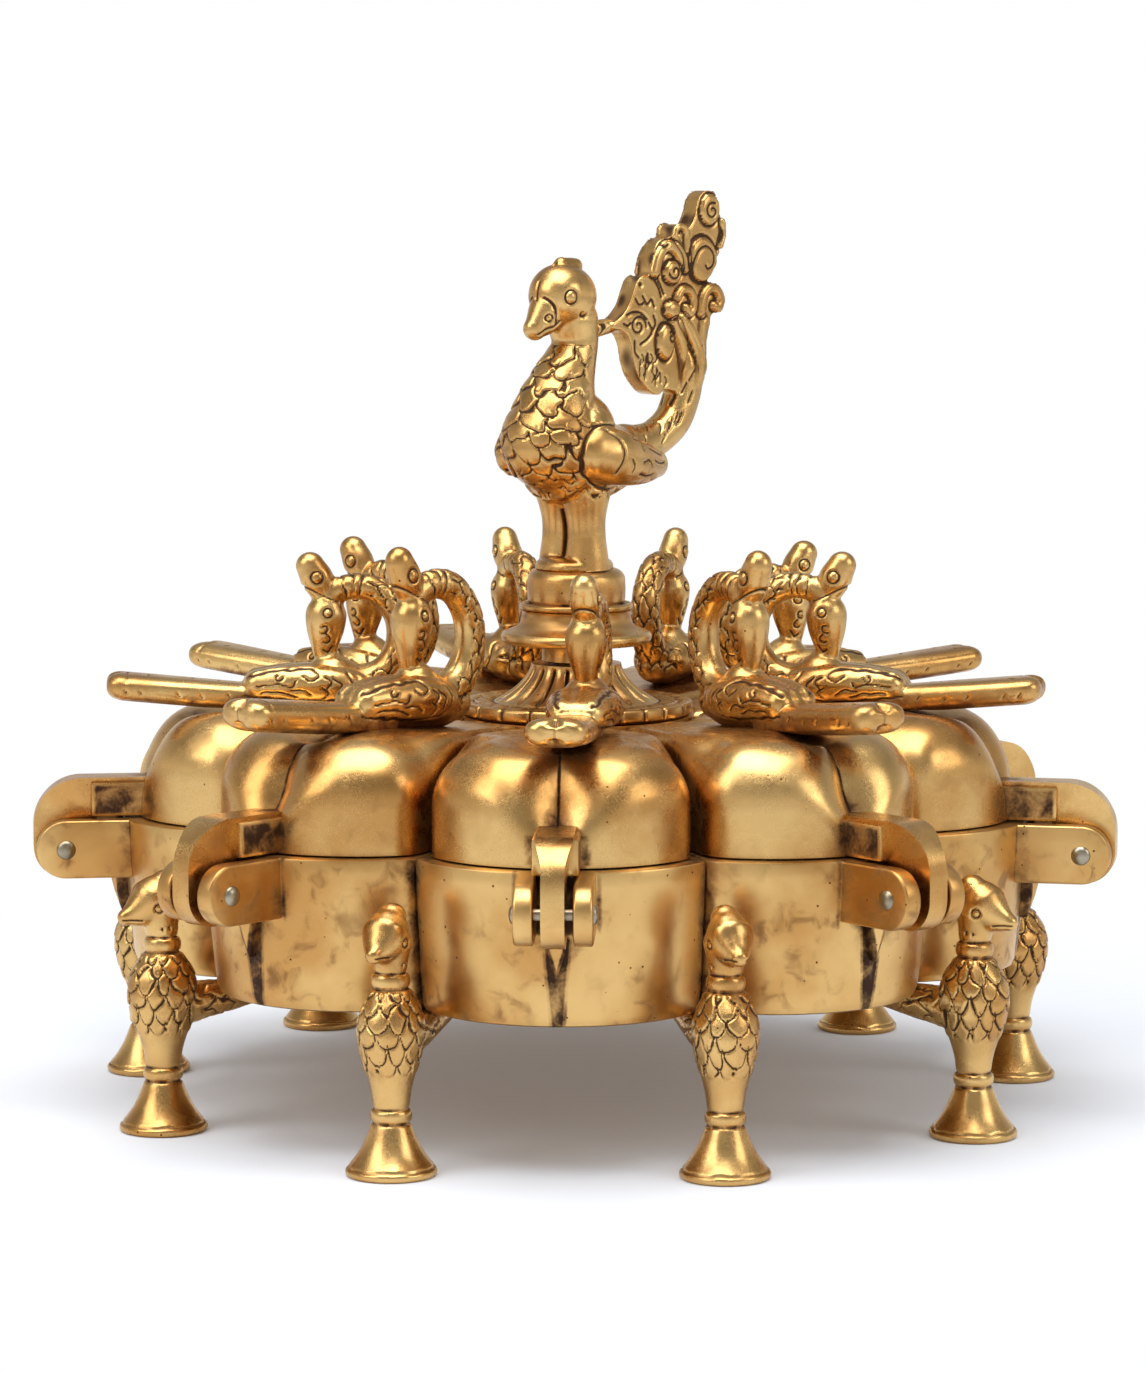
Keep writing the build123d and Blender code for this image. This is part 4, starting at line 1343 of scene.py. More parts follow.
@dataclass
class LidBirds:
    """Nine birds, each bent back over itself on a lid."""

    lid_top: float = 82.75
    crest: float = 65.0
    fall: float = 0.0725
    ring_x: float = 46.3
    ring_z: float = 98.0
    ring: float = 10.0
    ring_wide: float = 0.93
    ring_tall: float = 1.05
    column: float = 52.6
    tail_tip: float = 98.1
    voxel: float = 0.38
    twists: tuple[float, ...] = (-5.5, -4.0, -2.5, -2.0, 1.0, 2.0, -2.0, -3.0, -4.5)
    pivot: float = 95.0
    stretch: tuple[float, ...] = (0.94, 1.045, 0.96, 0.94, 0.97, 0.97, 0.965, 0.955, 1.07)

    def tail(self) -> Piece:
        """Flat tail with round edges and a cleft in its tip."""
        turns = np.arange(40) / 40 * 2.0 * math.pi
        rings = []
        steps = [*np.linspace(60.0, 92.0, 17), *np.linspace(93.0, self.tail_tip, 12)]
        for x in steps:
            left = self.tail_tip + 0.02 - x
            end = math.sqrt(max(1.0 - max(1.0 - left / 3.4, 0.0) ** 2, 0.0))
            half = (4.4 + 1.8 * float(smooth(x, 62.0, 92.0))) * (0.55 + 0.45 * end)
            thick = 3.05 * (0.35 + 0.65 * end)
            cos, sin = np.cos(turns), np.sin(turns)
            y = half * np.sign(cos) * np.abs(cos) ** 0.72
            z = self.lid_top + 2.9 + thick * np.sign(sin) * np.abs(sin) ** 0.72
            z = z + 0.1 * (x - 80.0)
            notch = 2.0 * np.exp(-((y / 1.1) ** 2)) * float(smooth(x, 93.5, 98.0))
            rings.append(np.column_stack([x - notch, y, z]))
        return Bench.skin(rings)

    def limbs(self) -> list[Limb]:
        """The bars and balls of the bird."""
        z, at = self.lid_top, self.column
        neck = []
        for angle, radius in ((305, 4.7), (287, 4.5), (262, 3.9), (230, 3.45), (195, 3.2),
                              (160, 3.05), (125, 2.95), (95, 2.9), (70, 2.8), (52, 2.7)):
            a = math.radians(angle)
            neck.append((self.ring_x + self.ring * self.ring_wide * math.cos(a),
                         self.ring_z + self.ring * self.ring_tall * math.sin(a), radius))
        wing = Limb(((47.0, 2.9, z + 3.7, 3.6), (51.5, 3.6, z + 4.4, 4.2),
                     (57.0, 3.6, z + 4.7, 4.2), (63.0, 3.1, z + 4.7, 3.8),
                     (66.6, 2.7, z + 4.6, 3.3)), 0.94)
        return [
            Limb.middle(*neck),
            Limb.middle((41.5, z + 2.8, 3.4), (46.0, z + 3.2, 4.9), (52.0, z + 3.8, 5.4),
                        (60.0, z + 4.0, 4.9), (66.4, z + 4.2, 3.6)),
            wing, wing.mirrored(),
            Limb.middle((at - 0.4, 105.5, 3.1), (at, 102.8, 4.25), (at + 0.2, 99.0, 3.9),
                        (at + 0.4, 95.2, 2.8), (at + 0.5, 92.0, 1.85), (at + 0.6, 89.6, 1.6),
                        (at + 0.7, 87.2, 2.7)),
            Limb.middle((at + 0.6, 107.4, 2.9), (at + 1.9, 110.2, 3.45), (at + 3.3, 113.0, 3.0),
                        breadth=0.93),
        ]

    def engrave(self, bird: Piece) -> None:
        """Cut the eyes, scales and feathers.

        Args:
            bird: The fused pattern bird.
        """
        art = Engraving(bird)
        x, y, z = art.places.T
        flat, at, low = art.flat, self.column, self.lid_top
        facing = smooth(np.abs(art.normals[:, 1]), 0.25, 0.6)
        uneven = wander(art.places, 6.0, 3)
        fine = wander(art.places, 3.0, 5)
        wide, tall = (x - self.ring_x) / self.ring_wide, (z - self.ring_z) / self.ring_tall
        angle = np.arctan2(tall, wide)
        turn = np.mod(np.radians(300.0) - angle, 2.0 * math.pi)
        reach = np.hypot(wide, tall)
        tube = np.hypot(reach - self.ring, y)
        on_neck = (smooth(tube, 6.0, 4.8) * smooth(turn, 0.05, 0.2) * smooth(turn, 3.5, 3.4)
                   * smooth(reach - self.ring, -2.4, -1.4))
        around = np.arctan2(reach - self.ring, y) / (2.0 * math.pi) * 7.0 * 3.4
        art.scales(turn * self.ring + 0.5 * uneven, around + 0.35 * fine, 2.9, 3.4, on_neck,
                   1.15, 0.33, 0.16)
        head = smooth(tube, 4.3, 3.8) * (x < at) * smooth(reach - self.ring, -2.6, -1.6)
        for stop in (3.56, 3.76, 3.95):
            art.cut(np.abs(turn - stop + 0.03 * fine) * self.ring, 0.4, head)
        for spot, radius in (((at + 2.0, 110.6), 1.35), ((at - 0.2, 103.0), 1.0)):
            gap = np.hypot(x - spot[0], z - spot[1])
            art.cut(np.abs(gap - radius), 0.42, facing)
            art.rise += 0.25 * smooth(gap, radius, 0.0) * facing
        marks = (curl((at + 0.7, 99.6), 0.4, 1.2, 0.7, 40.0),
                 curl((at + 0.3, 97.0), 1.2, 0.5, 0.6, 100.0),
                 [(at - 1.2, 95.6), (at - 0.2, 94.2), (at + 0.8, 94.8)])
        art.strokes(flat, marks, 0.4, facing * (y**2 < 30.0))
        art.cut(np.abs(z - 106.3 - (x - at) * 0.45), 0.42, (x > at - 2.5) * (z > 103.0) * 0.9)
        side = smooth(np.abs(y), 1.4, 2.6) * smooth(np.abs(art.normals[:, 1]), 0.02, 0.25)
        feathers = drawn(
            [(69.6, low + 6.4), (66.0, low + 7.6), (61.0, low + 8.2), (56.6, low + 8.4),
             (54.4, low + 7.0), (56.0, low + 5.8), (57.8, low + 6.8)],
            [(69.8, low + 2.6), (64.0, low + 1.6), (57.0, low + 0.9), (51.0, low + 1.5),
             (47.6, low + 4.4), (48.6, low + 7.6)],
            [(50.6, low + 2.8), (49.8, low + 4.8), (51.6, low + 6.6)],
            [(52.6, low + 4.2), (51.8, low + 5.6), (53.2, low + 6.8)],
            [(53.2, low + 1.9), (52.4, low + 3.2), (53.8, low + 4.4)],
            [(67.4, low + 4.6), (63.0, low + 5.2), (60.2, low + 4.6), (59.4, low + 5.8)],
            [(66.4, low + 3.2), (62.2, low + 3.2), (59.2, low + 2.2)],
            [(60.6, low + 3.8), (57.6, low + 3.8), (56.2, low + 2.6)])
        feathers.append(curl((62.8, low + 6.6), 0.9, 0.4, 0.7, 190.0))
        art.strokes(flat + 0.14 * np.column_stack([uneven, fine]), feathers, 0.38,
                    side * (z < low + 9.8))
        rng = np.random.default_rng(11)
        top = smooth(art.normals[:, 2], 0.5, 0.8) * (z < low + 7.0)
        plan = np.column_stack([x, y])
        for _ in range(5):
            spot, out = rng.uniform(72.0, 94.0), rng.uniform(-4.0, 4.0)
            art.cut(away(plan, [(spot, out), (spot + rng.uniform(-0.9, 0.9), out + 0.8)]), 0.34,
                    top * 0.85)
            spot, height = rng.uniform(72.0, 95.0), low + rng.uniform(1.6, 4.2)
            art.cut(away(flat, [(spot, height), (spot + 0.5, height + 0.8)]), 0.34,
                    facing * 0.85)
        art.cut(np.abs(y), 0.4, (x > 94.4) * (z < low + 7.0) * 0.7)
        art.cut(np.abs(x - 93.6 + 0.25 * fine), 0.4,
                smooth(art.normals[:, 2], 0.3, 0.7) * (y > 0.0) * 0.7)
        art.finish(0.36)

    def seat(self, places: np.ndarray) -> np.ndarray:
        """Heights with nothing sunk more than a hair into the lid."""
        lid = self.lid_top - self.fall * np.maximum(self.crest - places[:, 0], 0.0)
        return np.maximum(places[:, 2], lid - 0.25)

    def build(self, finishes: Finishes) -> None:
        """Make the pattern bird and set it on every lid.

        Args:
            finishes: The box's finishes.
        """
        parts = [limb.build() for limb in self.limbs()] + [self.tail()]
        bird = carve(parts, self.voxel, 3, self.engrave, self.seat)
        Placer.round(bird, "scaled_lid_bird", "lid_bird", lambda n: f"petal_lid_{n}",
                     finishes.bird, Slot.CARVED, 0.0, self.twists, self.pivot,
                     self.lid_top, self.stretch)


@dataclass
class BirdLegs:
    """Nine legs, each a standing bird with a trumpet foot."""

    circle: float = 94.3
    bowl_bottom: float = 29.6
    voxel: float = 0.36

    def post(self) -> Piece:
        """Foot, ankle, body and neck, turned as one and pressed deeper than wide."""
        profile = spline([
            (8.5, 0.0), (8.85, 0.4), (8.95, 1.1), (8.6, 1.7), (7.9, 2.5), (6.9, 3.8), (6.0, 5.2),
            (5.1, 7.0), (4.3, 9.0), (3.9, 10.0), (3.6, 10.4), (3.95, 10.9), (4.1, 11.8),
            (3.95, 12.7), (3.55, 13.2), (3.6, 14.0), (4.0, 16.8), (4.75, 20.0), (5.5, 22.8),
            (6.1, 26.0), (6.35, 28.7), (5.85, 31.7), (4.75, 34.6), (3.9, 36.2), (3.45, 36.7),
            (3.75, 37.2), (3.85, 38.2), (3.6, 39.2), (3.1, 39.7), (3.05, 41.0), (3.3, 42.6)], 3)
        post = Bench.turn(profile, 64)
        places = Bench.read(post)
        swell = band(places[:, 2], 15.0, 24.0, 32.0, 37.0)
        places[:, 0] = places[:, 0] * (1.0 + 0.13 * swell) + self.circle
        Bench.write(post, places)
        return post

    def limbs(self) -> list[Limb]:
        """Head, bill and the arm under the bowl."""
        at = self.circle
        return [
            Limb.middle((at + 0.1, 41.4, 3.4), (at + 0.8, 45.4, 4.7)),
            Limb.middle((at - 0.6, 50.2, 2.9), (at + 0.5, 49.0, 3.9), (at + 1.9, 47.4, 4.6),
                        (at + 3.7, 45.9, 4.2), (at + 6.0, 44.7, 2.9), (at + 7.9, 44.0, 1.7)),
            Limb.middle((at + 1.0, 25.4, 4.6), (at - 6.0, 26.0, 4.3), (at - 16.0, 26.9, 3.3),
                        (at - 26.0, 28.0, 2.2), (at - 31.8, 28.7, 1.5)),
        ]

    def engrave(self, leg: Piece) -> None:
        """Cut the scales, rings and the eye.

        Args:
            leg: The fused pattern leg.
        """
        art = Engraving(leg)
        x, y, z = art.places.T
        out = x - self.circle
        reach, angle = np.hypot(out, y), np.arctan2(y, out)
        uneven = wander(art.places, 7.0, 21)
        fine = wander(art.places, 3.6, 23)
        body = band(z, 19.6, 21.0, 35.6, 36.4) * smooth(reach, 8.6, 7.6)
        size, lanes = 3.9, 10.0
        art.scales(36.6 - z + 0.4 * uneven, angle / (2 * math.pi) * lanes * size + 0.4 * fine,
                   3.1, size, body, 1.6, 0.34, 0.26)
        arm = smooth(reach, 7.4, 8.8) * smooth(z, 34.0, 32.0) * smooth(z, 18.0, 20.0)
        round_arm = np.arctan2(z - 26.5, y)
        art.scales(-out + 0.7 * uneven, round_arm / (2 * math.pi) * 6 * 4.0 + 0.6 * fine,
                   4.6, 4.0, arm * smooth(out, -20.0, -13.0) * 0.85, 1.2, 0.4, 0.12)
        broken = 0.7 + 0.3 * np.sin(angle * 5 + 2.0 * uneven)
        for height in (10.4, 13.25, 36.65, 39.75):
            art.cut(np.abs(z - height), 0.4, (reach < 4.9) * broken)
        art.cut(np.abs(z - 1.85 - 0.1 * fine), 0.3, (reach > 7.9) * 0.6)
        side = smooth(np.abs(art.normals[:, 1]), 0.35, 0.7) * (z > 41.0)
        gap = np.hypot(out - 2.4, z - 45.9)
        art.cut(np.abs(gap - 0.9), 0.34, side)
        flat = np.column_stack([out, z])
        bill = spline([(9.4, 43.5), (7.0, 43.4), (5.2, 43.2)])
        art.strokes(flat, (bill, [(-0.4, 41.2), (-0.2, 41.9)], [(1.2, 40.8), (1.3, 41.5)]),
                    0.36, side)
        art.finish(0.4)

    def seat(self, places: np.ndarray) -> np.ndarray:
        """Heights with the foot on the table and the arm under the bowl."""
        x, _, z = places.T
        bowl = np.where(x < self.circle - 6.4, self.bowl_bottom - 0.02, np.inf)
        return np.maximum(np.minimum(z, bowl), 0.0)

    def build(self, finishes: Finishes) -> None:
        """Make the pattern leg and set it under every notch.

        Args:
            finishes: The box's finishes.
        """
        parts = [self.post()] + [limb.build() for limb in self.limbs()]
        leg = carve(parts, self.voxel, 6, self.engrave, self.seat)
        Placer.round(leg, "bird_leg", "leg", lambda n: "box", finishes.carved, Slot.CARVED, HALF)


@dataclass
class HingePins:
    """Pins with domed heads, peened over outside the ears."""

    circle: float = 107.0
    height: float = 53.9
    shank: float = 1.15
    head: float = 2.0
    half: float = 7.5
    dome: float = 1.05

    def build(self, finishes: Finishes) -> None:
        """Turn one pin and set the nine as one piece.

        Args:
            finishes: The box's finishes.
        """
        rows = [(0.001, -self.half - self.dome)]
        for angle in np.linspace(0.15, math.pi / 2.0, 7):
            rows.append((self.head * math.sin(angle), -self.half - self.dome * math.cos(angle)))
        rows += [(self.shank, -self.half)]
        rows += [(r, -z) for r, z in reversed(rows)]
        pins = []
        for index in range(PETALS):
            pin = Bench.turn(np.array(rows), 24)
            place = (Matrix.Rotation(FIRST_PETAL + index * STEP, 4, "Z")
                     @ Matrix.Translation((self.circle, 0.0, self.height))
                     @ Matrix.Rotation(math.pi / 2.0, 4, "X"))
            pin.data.transform(Matrix.Scale(MM, 4) @ place)
            pins.append(pin)
        piece = Bench.join(pins)
        Bench.shade(piece, 40.0)
        Placer.dress(piece, "domed_hinge_pins", "box", finishes.pin, Slot.PIN, ["hinge_pins"])


@dataclass
class Finial:
    """Fluted bell and turned pedestal under the peacock."""

    seat: float = 79.85
    flange: float = 24.4
    flange_top: float = 82.65
    bell_top: float = 90.45
    flutes: int = 20
    cuts: int = 24
    bore: float = 4.05
    neck_bottom: float = 90.75

    def bell(self, finishes: Finishes) -> None:
        """Flange with nicked edge and the fluted skirt on it.

        Args:
            finishes: The box's finishes.
        """
        def flute(r: np.ndarray, z: np.ndarray, a: np.ndarray) -> tuple[np.ndarray, np.ndarray]:
            """Hollow the skirt between its ribs.

            Args:
                r: Radius of each point.
                z: Its height.
                a: Its direction.

            Returns:
                The new radius and height.
            """
            lobe = np.abs(np.cos(a * self.flutes / 2.0)) ** 0.7
            share = band(z, self.flange_top + 0.15, self.flange_top + 1.4,
                         self.bell_top - 1.4, self.bell_top - 0.2)
            deep = (1.0 - lobe) * share * (0.6 + 0.9 * smooth(r, 9.0, 16.0))
            return r - deep * (r > 6.0), z

        rows = [(self.bore, self.seat)]
        edge = self.flange
        rows += [(r, self.seat) for r in (12.0, 18.0, edge - 0.6)]
        rows += [(edge - 0.2, self.seat + 0.2), (edge, self.seat + 0.6),
                 (edge, self.flange_top - 0.6), (edge - 0.2, self.flange_top - 0.2),
                 (edge - 0.6, self.flange_top)]
        rows += [(r, self.flange_top) for r in np.linspace(23.4, 17.4, 14)]
        for t in np.linspace(0.0, 1.0, 22):
            radius = 17.0 - 7.6 * t - 6.4 * t * (1.0 - t)
            rows.append((radius, self.flange_top + (self.bell_top - self.flange_top) * t))
        rows += [(8.8, self.bell_top), (self.bore, self.bell_top), (self.bore, self.seat)]
        piece = Bench.turn(np.array(rows), 360, flute)
        art = Engraving(piece)
        x, y, z = art.places.T
        reach, angle = np.hypot(x, y), np.arctan2(y, x)
        cell = np.abs(np.mod(angle / (2 * math.pi) * self.cuts + 0.12 * np.sin(angle * 7), 1.0)
                      - 0.5)
        art.cut(cell / self.cuts * 2 * math.pi * reach, 0.5,
                (reach > 21.6) * smooth(z, self.seat, self.seat + 0.4))
        flute_gap = np.abs(np.mod(angle / (2 * math.pi) * self.flutes, 1.0) - 0.5)
        art.cut(flute_gap / self.flutes * 2 * math.pi * reach, 0.5,
                0.8 * (reach > 8.6) * (z > self.flange_top + 0.3) * smooth(
                    z, self.bell_top - 0.3, self.bell_top - 1.2))
        flat = (np.abs(z - self.flange_top) < 0.05) * (reach > 17.2)
        art.cut(np.abs(reach - 21.4 + 0.2 * np.sin(angle * 9)), 0.4, flat)
        art.cut(np.abs(reach - 17.6), 0.5, flat)
        wave = 19.4 + 1.2 * np.sin(angle * 24.0)
        art.cut(np.abs(reach - wave), 0.42, flat)
        art.finish(0.4, 2, 0.6)
        self.stand(piece, 50.0, "fluted_bell", "finial_bell", "bell", finishes)

    def pedestal(self, finishes: Finishes) -> None:
        """Neck, disc and two drums.

        Args:
            finishes: The box's finishes.
        """
        base = self.neck_bottom
        disc, lower, upper, top = base + 3.9, base + 7.1, base + 12.4, base + 19.6
        rows = [(0.001, base + 14.0), (self.bore, base + 14.0), (self.bore, base),
                (6.8, base), (7.2, base + 0.3), (7.2, disc - 0.9), (7.6, disc - 0.3), (9.0, disc)]

        def rounded(radius: float, low: float, high: float, edge: float) -> list[Point]:
            """Side of a drum with both edges rounded.

            Args:
                radius: Radius of the drum.
                low: Height of its lower edge.
                high: Height of its upper edge.
                edge: Radius of the rounding.

            Returns:
                Rows (radius, height).
            """
            found = []
            for angle in np.linspace(-90.0, 90.0, 13):
                a = math.radians(angle)
                centre = low + edge if angle < 0 else high - edge
                found.append((radius - edge + edge * math.cos(a), centre + edge * math.sin(a)))
            return found

        rows += [(12.0, disc)] + rounded(15.8, disc, lower - 0.6, 1.25)
        rows += [(14.0, lower - 0.3), (12.7, lower + 0.2), (11.9, lower + 1.0),
                 (11.5, lower + 2.2), (11.4, upper - 1.8), (11.6, upper - 1.5)]
        rows += rounded(11.9, upper - 1.4, upper, 0.6)
        rows += [(10.9, upper), (10.1, upper + 0.1), (10.25, upper + 0.9), (10.3, upper + 3.0)]
        rows += rounded(10.3, top - 5.4, top, 2.6)[7:] + [(7.0, top), (0.001, top)]
        piece = Bench.turn(np.array(rows), 200)
        art = Engraving(piece)
        x, y, z = art.places.T
        angle = np.arctan2(y, x)
        reach = np.hypot(x, y)
        broken = 0.6 + 0.4 * np.sin(angle * 9 + 2.0 * np.sin(angle * 4))
        art.cut(np.abs(z - upper - 0.15), 0.5, (reach > 9.8) * (reach < 11.2) * broken)
        art.cut(np.abs(z - lower - 0.6), 0.6, (reach > 11.2) * (reach < 13.0) * broken)
        art.cut(np.abs(z - disc + 0.1), 0.5, (reach < 9.6) * (reach > 6.9))
        art.finish(0.18, 2, 0.25)
        self.stand(piece, 40.0, "turned_pedestal", "finial", "pedestal", finishes)

    @staticmethod
    def stand(piece: Piece, limit: float, name: str, body: str, node: str,
              finishes: Finishes) -> None:
        """Set a turned piece on the axis in its finish.

        Args:
            piece: The piece, in millimetres.
            limit: Angle above which its edges stay sharp, in degrees.
            name: Its name.
            body: The CAD body that it rides on.
            node: The CAD node that it stands for.
            finishes: The box's finishes.
        """
        piece.data.transform(Matrix.Scale(MM, 4))
        Bench.shade(piece, limit)
        Placer.dress(piece, name, body, finishes.turned, Slot.TURNED, [node])


@dataclass
class Peacock:
    """Standing peacock with a raised fan of scrolls."""

    base: float = 110.35
    yaw: float = 225.0
    voxel: float = 0.35
    plate: float = 4.6

    def limbs(self) -> list[Limb]:
        """The bars and balls of the bird, its beak towards +X."""
        leg = Limb(((0.7, 4.0, -1.5, 5.0), (0.7, 4.0, 2.5, 4.5), (0.7, 3.9, 7.0, 4.0),
                    (0.8, 3.8, 11.0, 4.2), (1.0, 3.8, 16.0, 5.4)))
        wing = Limb(((3.0, 9.9, 24.4, 5.6), (-1.0, 10.6, 23.6, 5.9), (-6.0, 10.0, 22.6, 5.2),
                     (-11.6, 8.6, 21.8, 4.2), (-16.6, 7.0, 21.4, 2.9)), 0.74)
        far_wing = Limb(((6.4, -10.8, 24.4, 5.6), (2.0, -11.2, 23.6, 5.9),
                         (-4.0, -10.4, 22.6, 5.2), (-10.6, -8.8, 21.8, 4.2),
                         (-16.0, -7.0, 21.4, 2.9)), 0.74)
        return [
            Limb.middle((6.8, 26.8, 10.6), (3.6, 25.8, 12.4), (-1.6, 23.4, 10.6),
                        (-7.6, 22.8, 8.2), (-13.6, 23.4, 6.0), (-18.6, 24.8, 4.6)),
            Limb.middle((6.2, 29.5, 10.2), (5.4, 34.1, 8.6), (3.6, 39.1, 6.8), (1.4, 43.8, 5.3),
                        (0.4, 47.6, 4.9), (1.2, 51.6, 5.5)),
            Limb.middle((3.2, 56.8, 6.6), (4.6, 57.0, 6.6)),
            Limb.middle((7.4, 54.6, 4.4), (9.5, 52.2, 3.7), (11.7, 50.3, 2.5), breadth=0.95),
            Limb.middle((0.4, 63.0, 1.7), (4.2, 63.2, 1.8), breadth=0.9),
            leg, leg.mirrored(), wing, far_wing,
            Limb.middle((-14.0, 24.6, 5.2), (-18.0, 25.2, 4.3), (-22.6, 26.4, 4.0),
                        (-27.6, 29.8, 4.0), (-30.4, 35.0, 4.0), (-31.3, 39.0, 3.9),
                        (-31.6, 44.5, 3.3), (-30.4, 48.5, 2.7), (-27.8, 52.0, 2.2)),
            Limb.middle((-3.4, 49.6, 2.0), (-9.4, 50.4, 1.6)),
        ]

    def foot(self) -> Piece:
        """Low round foot under the legs."""
        profile = [(0.001, -0.1), (8.2, -0.1), (8.2, 0.9), (7.7, 1.7), (6.2, 2.4), (0.001, 2.6)]
        foot = Bench.turn(np.array(profile), 64)
        foot.data.transform(Matrix.Translation((0.6, 0.0, 0.0)))
        return foot

    def fan(self) -> Piece:
        """Plate of the raised tail with its scalloped edge."""
        corners = [
            (-8.4, 51.0), (-10.9, 52.5), (-13.0, 54.6), (-14.3, 57.3), (-15.4, 59.7),
            (-17.1, 60.9), (-19.0, 60.9), (-19.2, 62.8), (-20.2, 65.8), (-22.1, 68.2),
            (-24.3, 68.9), (-25.7, 69.2), (-25.7, 70.6), (-27.1, 71.6), (-29.0, 71.4),
            (-30.2, 70.6), (-31.7, 72.2), (-33.0, 75.0), (-33.9, 77.4), (-36.0, 78.7),
            (-38.2, 78.2), (-39.4, 75.8), (-39.5, 73.6), (-41.0, 72.2), (-41.4, 69.5),
            (-40.2, 66.4), (-38.0, 62.9), (-36.0, 60.5), (-36.0, 59.6), (-37.6, 59.0),
            (-40.0, 57.7), (-41.0, 55.3), (-40.4, 53.4), (-38.6, 52.5), (-37.2, 52.0),
            (-36.8, 50.0), (-36.1, 47.5), (-35.9, 44.0), (-35.3, 40.0), (-33.4, 36.6),
            (-28.0, 36.0), (-23.6, 36.6), (-21.9, 35.6), (-19.8, 35.9), (-18.0, 37.1),
            (-15.7, 39.6), (-14.3, 42.8), (-13.6, 46.1), (-12.3, 48.4), (-10.2, 49.5),
            (-8.4, 49.8)]
        outline = spline(corners + corners[:1], 4)[:-1]
        half = self.plate / 2.0
        rings = [np.array([(x, y, z) for x, z in outline]) for y in (-half, half)]
        return Bench.skin(rings)

    def engrave(self, bird: Piece) -> None:
        """Cut the feathers and lay the scrolls of the fan.

        Args:
            bird: The fused peacock.
        """
        art = Engraving(bird)
        x, y, z = art.places.T
        uneven = wander(art.places, 9.0, 31)
        fine = wander(art.places, 4.6, 37)
        middle = np.interp(z, [14, 27, 34, 39, 44, 48, 56], [0, 2.5, 5.6, 3.9, 1.0, 0.0, 3.0])
        angle = np.arctan2(y, x - middle)
        front = smooth(np.cos(angle), -0.35, 0.1)
        on_wing = smooth(np.hypot((x + 1.8) / 11.4, (z - 24.0) / 7.6), 1.0, 0.9) * smooth(
            np.abs(y), 9.6, 10.6) * (x < 9.0)
        chest = front * (1.0 - on_wing)
        down = 46.5 - z + 0.7 * uneven
        for low, high, lanes in ((37.5, 47.0, 7.0), (29.0, 38.0, 10.0), (19.5, 29.5, 15.0)):
            zone = band(z, low - 0.4, low, high - 0.4, high)
            art.scales(down, angle / (2 * math.pi) * lanes * 5.0 + 0.6 * fine, 3.3, 5.0,
                       chest * zone, 1.1, 0.36, 0.3)
        ridge = np.abs(np.mod(z + 1.6 * uneven + 0.8 * np.abs(np.mod(
            angle * 8.0 + 0.6 * fine, 2.0) - 1.0) * 2.0, 2.9) - 1.45)
        belly = band(z, 14.4, 15.2, 19.2, 20.0) * (np.abs(x) < 13.0)
        art.cut(ridge, 0.4, belly * (1.0 - on_wing) * smooth(fine, -0.7, -0.2))
        back = smooth(np.cos(angle), 0.25, -0.1) * band(z, 40.0, 42.0, 50.5, 52.0)
        lane = np.abs(np.mod(angle * 5.0 + 0.5 * fine + 0.12 * z, 1.0) - 0.5)
        art.cut(lane * 0.9, 0.38, back * (x > -7.0) * smooth(uneven, 0.0, 0.35))
        for detail in (self.engrave_head, self.engrave_wings, self.engrave_fan):
            detail(art)
        split = (np.abs(x - 0.7) < 6.0) * (z < 12.5) * (z > 2.4)
        art.cut(np.abs(y), 0.9, split)
        art.finish(0.42)

    @staticmethod
    def engrave_head(art: Engraving) -> None:
        """Eyes, bill lines and the groove over the forehead.

        Args:
            art: The peacock's skin.
        """
        x, y, z = art.places.T
        side = smooth(np.abs(y), 1.0, 2.0) * (z > 48.0) * (x > -5.0)
        gap = np.hypot((x - 6.9) / 0.85, z - 56.8)
        eye = side * (np.abs(y) > 4.0)
        art.cut(np.abs(gap - 1.5), 0.42, eye)
        art.rise += 0.3 * smooth(gap, 1.3, 0.2) * eye
        bill = drawn([(11.6, 57.4), (10.4, 56.0), (9.4, 54.3), (8.8, 52.2), (8.6, 50.8)],
                     [(12.4, 49.0), (10.5, 50.2), (8.9, 50.6), (7.6, 51.8)])
        art.strokes(art.flat, bill + [curl((3.2, 53.4), 1.0, 0.5, 0.5, 190.0)], 0.4, side)
        nose = np.hypot(x - 10.5, z - 52.5)
        art.cut(np.abs(nose - 0.75), 0.36, side)
        brow = spline([(2.6, 62.6), (5.0, 61.4), (7.6, 59.4), (9.2, 57.4)])
        art.cut(np.abs(y), 0.42, (away(art.flat, brow) < 2.6) * (x > 2.0))

